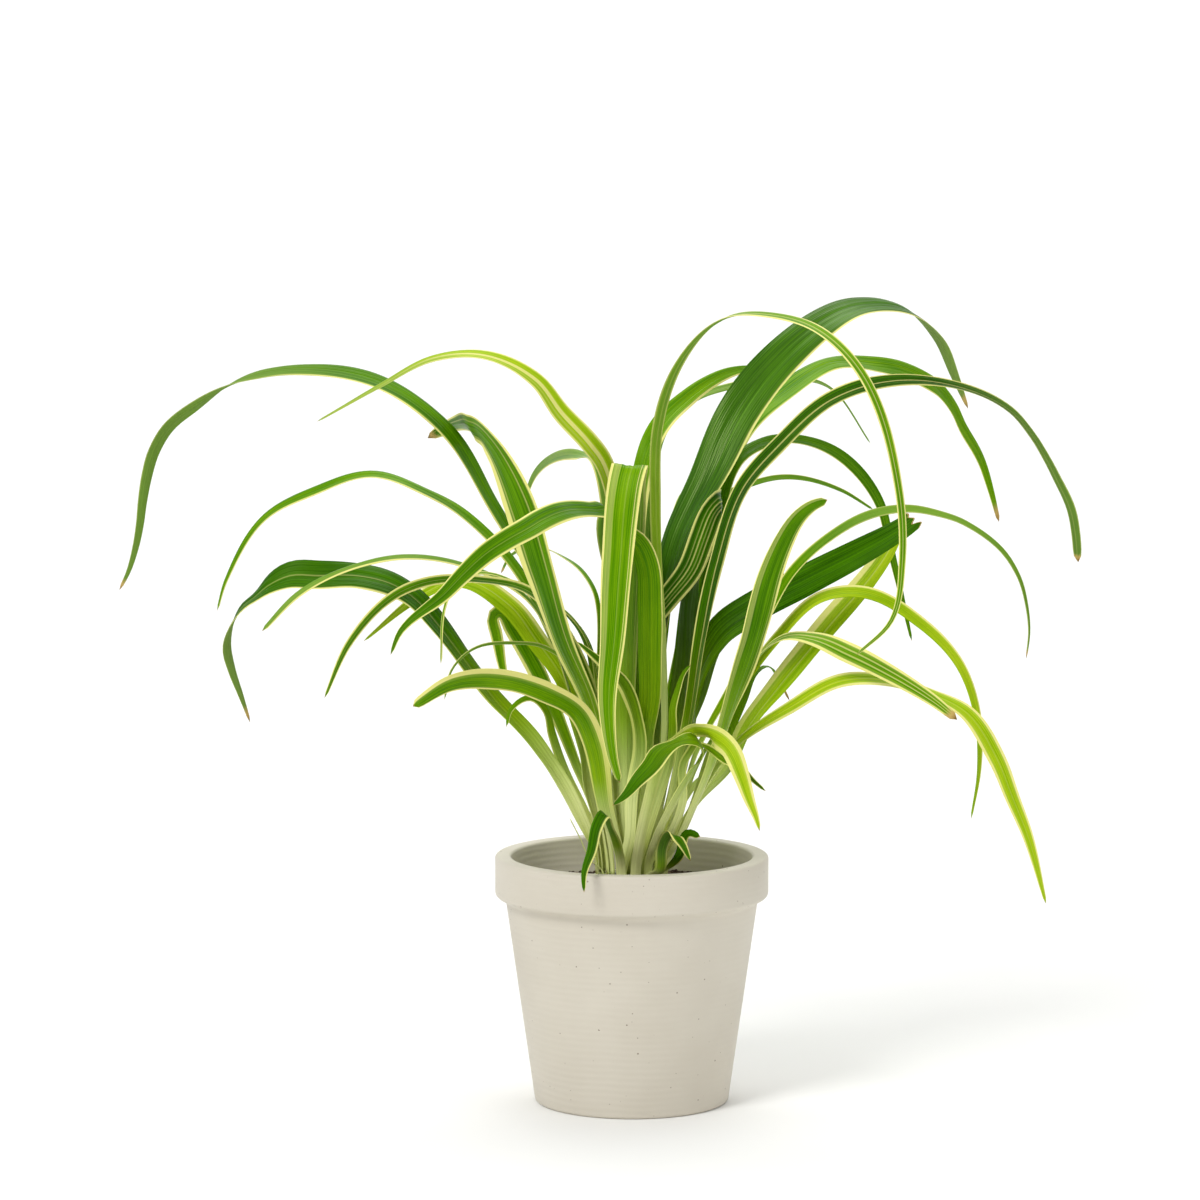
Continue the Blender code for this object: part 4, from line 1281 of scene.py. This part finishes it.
def turned(profile: list[tuple[float, float]], steps: int) -> bmesh.types.BMesh:
    """Turns a profile about the plant's axis.

    Args:
        profile: (radius, height) points from the axis round to the axis.
        steps: Steps in the full turn.

    Returns:
        The closed shape.
    """
    shape = bmesh.new()
    corners = [shape.verts.new((radius * MM, 0.0, height * MM)) for radius, height in profile]
    edges = [shape.edges.new(pair) for pair in zip(corners, corners[1:])]
    bmesh.ops.spin(
        shape,
        geom=[*corners, *edges],
        cent=(0.0, 0.0, 0.0),
        axis=(0.0, 0.0, 1.0),
        angle=2.0 * math.pi,
        steps=steps,
        use_merge=True,
    )
    bmesh.ops.remove_doubles(shape, verts=shape.verts, dist=MERGE_DISTANCE)
    bmesh.ops.recalc_face_normals(shape, faces=shape.faces)
    for polygon in shape.faces:
        polygon.smooth = True
    return shape


@dataclass
class Pot:
    """The round tapered pot, with its straight rim band, soft edges and flat foot."""

    height: float = 100.0
    rim: float = 55.0
    foot: float = 39.0
    wall: float = 4.5
    floor: float = 6.0
    band: float = 16.0
    band_depth: float = 2.0
    rounding: float = 1.2
    rounding_steps: int = 4
    steps: int = 144
    sharp_from: float = 30.0  # degrees between faces past which an edge is rounded

    def outer(self, height: float) -> float:
        """Finds the radius of the tapered side at a height."""
        return self.foot + (self.rim - self.band_depth - self.foot) * height / self.height

    def inner(self, height: float) -> float:
        """Finds the radius of the inner side at a height."""
        return self.outer(height) - self.wall

    def build(self) -> bpy.types.Object:
        """Builds the pot.

        Returns:
            The pot, dressed.
        """
        band_foot = self.height - self.band
        profile = [
            (0.0, self.floor),
            (self.inner(self.floor), self.floor),
            (self.inner(self.height), self.height),
            (self.rim, self.height),
            (self.rim, band_foot),
            (self.outer(band_foot), band_foot - self.band_depth),
            (self.foot, 0.0),
            (0.0, 0.0),
        ]
        shape = turned(profile, self.steps)
        bend = math.radians(self.sharp_from)
        sharp = [edge for edge in shape.edges if edge.is_manifold and edge.calc_face_angle() > bend]
        bmesh.ops.bevel(
            shape,
            geom=sharp,
            offset=self.rounding * MM,
            segments=self.rounding_steps,
            profile=0.5,
            affect="EDGES",
            material=-1,
        )
        for polygon in shape.faces:
            polygon.smooth = True
        pot = shown("pot_thrown", shape, Stoneware().dress())
        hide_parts("pot")
        return pot


@dataclass
class Soil:
    """The potting mix: a lumpy surface round the crown, with crumbs and bark on it."""

    edge_height: float = 86.0
    middle_height: float = 89.0
    hole: float = 16.3
    hole_floor: float = 65.7
    clearance: float = 0.3
    rings: int = 26
    steps: int = 160
    lump: float = 0.9
    lump_sizes: tuple[float, float] = (11.0, 2.6)
    fine_share: float = 0.45
    even_below: float = 0.5  # how far under the edge the surface is still lumpy
    bare: tuple[float, float] = (1.5, 2.5)  # kept free of grains by the crown and by the pot
    crumbs: int = 620
    crumb_sizes: tuple[float, float] = (0.5, 1.5)
    crumb_widths: tuple[float, float] = (0.6, 1.0)  # shares of the size, as the heights are
    crumb_height: float = 0.7
    crumb_proud: float = 0.25
    chips: int = 70
    chip_sizes: tuple[float, float] = (1.6, 3.4)
    chip_widths: tuple[float, float] = (0.25, 0.5)
    chip_height: float = 0.16
    chip_proud: float = 0.1
    tilt: float = 0.35  # radians
    lumpiness: tuple[float, float] = (0.78, 1.12)
    seed: int = 41

    def surface_height(self, x: float, y: float, pot: Pot) -> float:
        """Finds the height of the surface.

        Args:
            x: Place to the right.
            y: Place to the back.
            pot: The pot that holds the soil.

        Returns:
            The height.
        """
        radius = math.hypot(x, y)
        edge = pot.inner(self.edge_height) - self.clearance
        share = (radius - self.hole) / (edge - self.hole)
        level = self.middle_height + (self.edge_height - self.middle_height) * share
        large, small = self.lump_sizes
        wide = noise.noise(Vector((x / large, y / large, 2.0)))
        fine = noise.noise(Vector((x / small, y / small, 5.0)))
        return level + self.lump * (wide + self.fine_share * fine)

    def build(self, pot: Pot) -> bpy.types.Object:
        """Builds the filling with its surface.

        Args:
            pot: The pot that holds the soil.

        Returns:
            The soil, dressed.
        """
        edge = pot.inner(self.edge_height) - self.clearance
        bottom = pot.floor + self.clearance
        top = []
        for ring in range(self.rings + 1):
            share = ring / self.rings
            radius = self.hole + (edge - self.hole) * share
            top.append((radius, self.middle_height + (self.edge_height - self.middle_height) * share))
        foot = pot.inner(bottom) - self.clearance
        profile = [(0.0, self.hole_floor), (self.hole, self.hole_floor), *top]
        profile += [(foot, bottom + pot.rounding), (foot - pot.rounding, bottom), (0.0, bottom)]
        shape = turned(profile, self.steps)
        for vertex in shape.verts:
            x, y, z = vertex.co / MM
            radius = math.hypot(x, y)
            if z > self.edge_height - self.even_below and self.hole < radius:
                vertex.co.z = self.surface_height(x, y, pot) * MM
        for polygon in shape.faces:
            polygon.smooth = False
        soil = shown("soil_surface", shape, PottingMix("moist_peat").dress())
        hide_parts("soil")
        self.strew(pot)
        return soil

    def strew(self, pot: Pot) -> None:
        """Strews crumbs and chips of bark over the surface, each sunk in a little.

        Args:
            pot: The pot that holds the soil.
        """
        draw = random.Random(self.seed)
        edge = pot.inner(self.edge_height) - self.bare[1]
        crumbs, chips = bmesh.new(), bmesh.new()
        for _ in range(self.crumbs):
            size = draw.uniform(*self.crumb_sizes)
            grain = (size, size * draw.uniform(*self.crumb_widths), size * self.crumb_height)
            self.drop(crumbs, draw, edge, pot, grain, self.crumb_proud)
        for _ in range(self.chips):
            size = draw.uniform(*self.chip_sizes)
            grain = (size, size * draw.uniform(*self.chip_widths), size * self.chip_height)
            self.drop(chips, draw, edge, pot, grain, self.chip_proud)
        for name, shape, finish in (
            ("soil_crumbs", crumbs, PottingMix("peat_crumbs", "#2E1F15", "#5C452F", 0.8)),
            ("bark_chips", chips, PottingMix("pine_bark", "#4A2F1C", "#8A6A48", 1.1)),
        ):
            piece = shown(name, shape, finish.dress())

    def drop(
        self,
        shape: bmesh.types.BMesh,
        draw: random.Random,
        edge: float,
        pot: Pot,
        size: tuple[float, float, float],
        proud: float,
    ) -> None:
        """Drops one grain on the surface.

        Args:
            shape: The mesh that takes the grain.
            draw: The seeded draw.
            edge: The furthest radius.
            pot: The pot that holds the soil.
            size: Half sizes of the grain.
            proud: How far its middle stands over the surface, as a share of its height.
        """
        angle = draw.uniform(0.0, 2.0 * math.pi)
        radius = math.sqrt(draw.uniform((self.hole + self.bare[0]) ** 2, (edge - size[0]) ** 2))
        x, y = radius * math.cos(angle), radius * math.sin(angle)
        z = self.surface_height(x, y, pot) + proud * size[2]
        turn = Quaternion((0.0, 0.0, 1.0), draw.uniform(0.0, math.pi))
        tilt = Quaternion((1.0, 0.0, 0.0), draw.uniform(-self.tilt, self.tilt))
        place = Matrix.LocRotScale(Vector((x, y, z)) * MM, turn @ tilt, Vector(size) * MM)
        made = bmesh.ops.create_icosphere(shape, subdivisions=1, radius=1.0)["verts"]
        for vertex in made:
            vertex.co *= draw.uniform(*self.lumpiness)
        bmesh.ops.transform(shape, matrix=place, verts=made)


@dataclass
class Crown:
    """The short crown that carries the leaves, wrapped in the ends of old sheaths."""

    radius: float = 16.0
    top: float = 92.0
    depth: float = 26.0
    shoulder: float = 1.5
    shoulder_steps: int = 6
    top_rings: tuple[float, ...] = (0.0, 0.15, 0.3, 0.45, 0.6, 0.75)  # shares of the radius
    side_rings: tuple[float, ...] = (3.0, 6.0, 12.0)  # below the top
    ridges: int = 17
    ridge_depth: float = 0.45
    ridge_wander: float = 2.0  # radians
    wander_size: float = 7.0
    plain_within: float = 1.0  # of the axis and of the foot, where there are no ridges
    steps: int = 136

    def build(self) -> bpy.types.Object:
        """Builds the crown.

        Returns:
            The crown, dressed.
        """
        rounded = []
        for step in range(self.shoulder_steps + 1):
            angle = math.pi / 2.0 * step / self.shoulder_steps
            rise = self.shoulder * (math.cos(angle) - 1.0)
            rounded.append((self.radius - self.shoulder * (1.0 - math.sin(angle)), self.top + rise))
        rings = [(self.radius * share, self.top) for share in self.top_rings]
        side = [(self.radius, self.top - depth) for depth in (*self.side_rings, self.depth)]
        shape = turned([*rings, *rounded, *side, (0.0, self.top - self.depth)], self.steps)
        for vertex in shape.verts:
            x, y, z = vertex.co / MM
            angle, radius = math.atan2(y, x), math.hypot(x, y)
            if radius < self.plain_within or z < self.top - self.depth + self.plain_within:
                continue
            spot = Vector([value / self.wander_size for value in (x, y, z)])
            wave = math.cos(self.ridges * angle + self.ridge_wander * noise.noise(spot))
            shrink = 1.0 - self.ridge_depth * (1.0 - wave) / self.radius * (radius / self.radius)
            vertex.co = Vector((x * shrink, y * shrink, z)) * MM
        crown = shown("crown_sheaths", shape, SheathTissue().dress())
        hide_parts("crown")
        return crown


@dataclass
class Studio:
    """The pale sweep that the plant stands on, the soft lamps and the camera."""

    lens: float = 135.0
    elevation: float = 6.0
    distance: float = 1800.0
    target: Point = (-12.8, 0.0, 202.9)
    sky: float = 0.46
    paper: str = "#F4F4F2"

    def build(self) -> None:
        """Builds the sweep, the lamps, the sky and the camera."""
        self.sweep()
        self.lamp("key", place=(-1.1, -1.5, 1.9), size=0.8, power=34.0)
        self.lamp("fill", place=(1.7, -1.2, 1.0), size=1.4, power=7.0)
        self.lamp("top", place=(0.2, 0.4, 2.2), size=1.2, power=12.0)
        self.lamp("backdrop", place=(0.0, 1.2, 2.6), size=1.6, power=26.0, aim=(0.0, 2.5, 0.9))
        world = bpy.data.worlds.new("soft_sky")
        world.use_nodes = True
        sky = world.node_tree.nodes["Background"]
        sky.inputs["Color"].default_value = linear("#FFFFFF")
        sky.inputs["Strength"].default_value = self.sky
        bpy.context.scene.world = world
        bpy.context.scene.view_settings.view_transform = "Standard"  # plain colours, as in the photograph
        self.camera()

    def sweep(self) -> None:
        """Builds the floor that curves up into a backdrop."""
        shape = bmesh.new()
        front, back, bend, top, width, steps = -3.0, 1.6, 0.9, 4.0, 4.0, 16
        line = [(front, 0.0), (back, 0.0)]
        for step in range(1, steps + 1):
            angle = math.pi / 2.0 * step / steps
            line.append((back + bend * math.sin(angle), bend * (1.0 - math.cos(angle))))
        line.append((back + bend, top))
        corners = [shape.verts.new((-width, y, z)) for y, z in line]
        edges = [shape.edges.new(pair) for pair in zip(corners, corners[1:])]
        grown = bmesh.ops.extrude_edge_only(shape, edges=edges)["geom"]
        moved = [item for item in grown if isinstance(item, bmesh.types.BMVert)]
        bmesh.ops.translate(shape, verts=moved, vec=(2.0 * width, 0.0, 0.0))
        for polygon in shape.faces:
            polygon.smooth = True
        mesh = bpy.data.meshes.new("paper_sweep")
        shape.to_mesh(mesh)
        shape.free()
        paper, _, shader = new_material("white_background_paper")
        shader.inputs["Base Color"].default_value = linear(self.paper)
        shader.inputs["Roughness"].default_value = 0.9
        mesh.materials.append(paper)
        sweep = bpy.data.objects.new("paper_sweep", mesh)
        bpy.context.scene.collection.objects.link(sweep)

    def lamp(
        self, name: str, place: Point, size: float, power: float, aim: Point | None = None
    ) -> None:
        """Adds a soft square lamp.

        Args:
            name: The lamp's name.
            place: Where it hangs, in metres.
            size: Its side in metres.
            power: Its power in watts.
            aim: The point in metres that it faces, or nothing for the leaves.
        """
        light = bpy.data.lights.new(name, "AREA")
        light.size = size
        light.energy = power
        lamp = bpy.data.objects.new(name, light)
        lamp.location = place
        facing = Vector(aim) if aim else Vector(self.target) * MM
        lamp.rotation_euler = (facing - Vector(place)).to_track_quat("-Z", "Y").to_euler()
        bpy.context.scene.collection.objects.link(lamp)

    def camera(self) -> None:
        """Adds the camera at the photograph's viewing angle."""
        data = bpy.data.cameras.new("camera")
        data.lens = self.lens
        camera = bpy.data.objects.new("camera", data)
        tilt = math.radians(self.elevation)
        ahead = Vector((0.0, math.cos(tilt), -math.sin(tilt)))
        camera.location = (Vector(self.target) - ahead * self.distance) * MM
        camera.rotation_euler = (math.pi / 2.0 - tilt, 0.0, 0.0)
        bpy.context.scene.collection.objects.link(camera)
        bpy.context.scene.camera = camera


def main() -> None:
    """Builds the pieces in order."""
    logging.basicConfig(level=logging.INFO, format="%(message)s")
    Studio().build()
    pot = Pot()
    pot.build()
    Soil().build(pot)
    Crown().build()
    for blade in BLADES:
        blade.build()


if __name__ == "__main__":
    main()
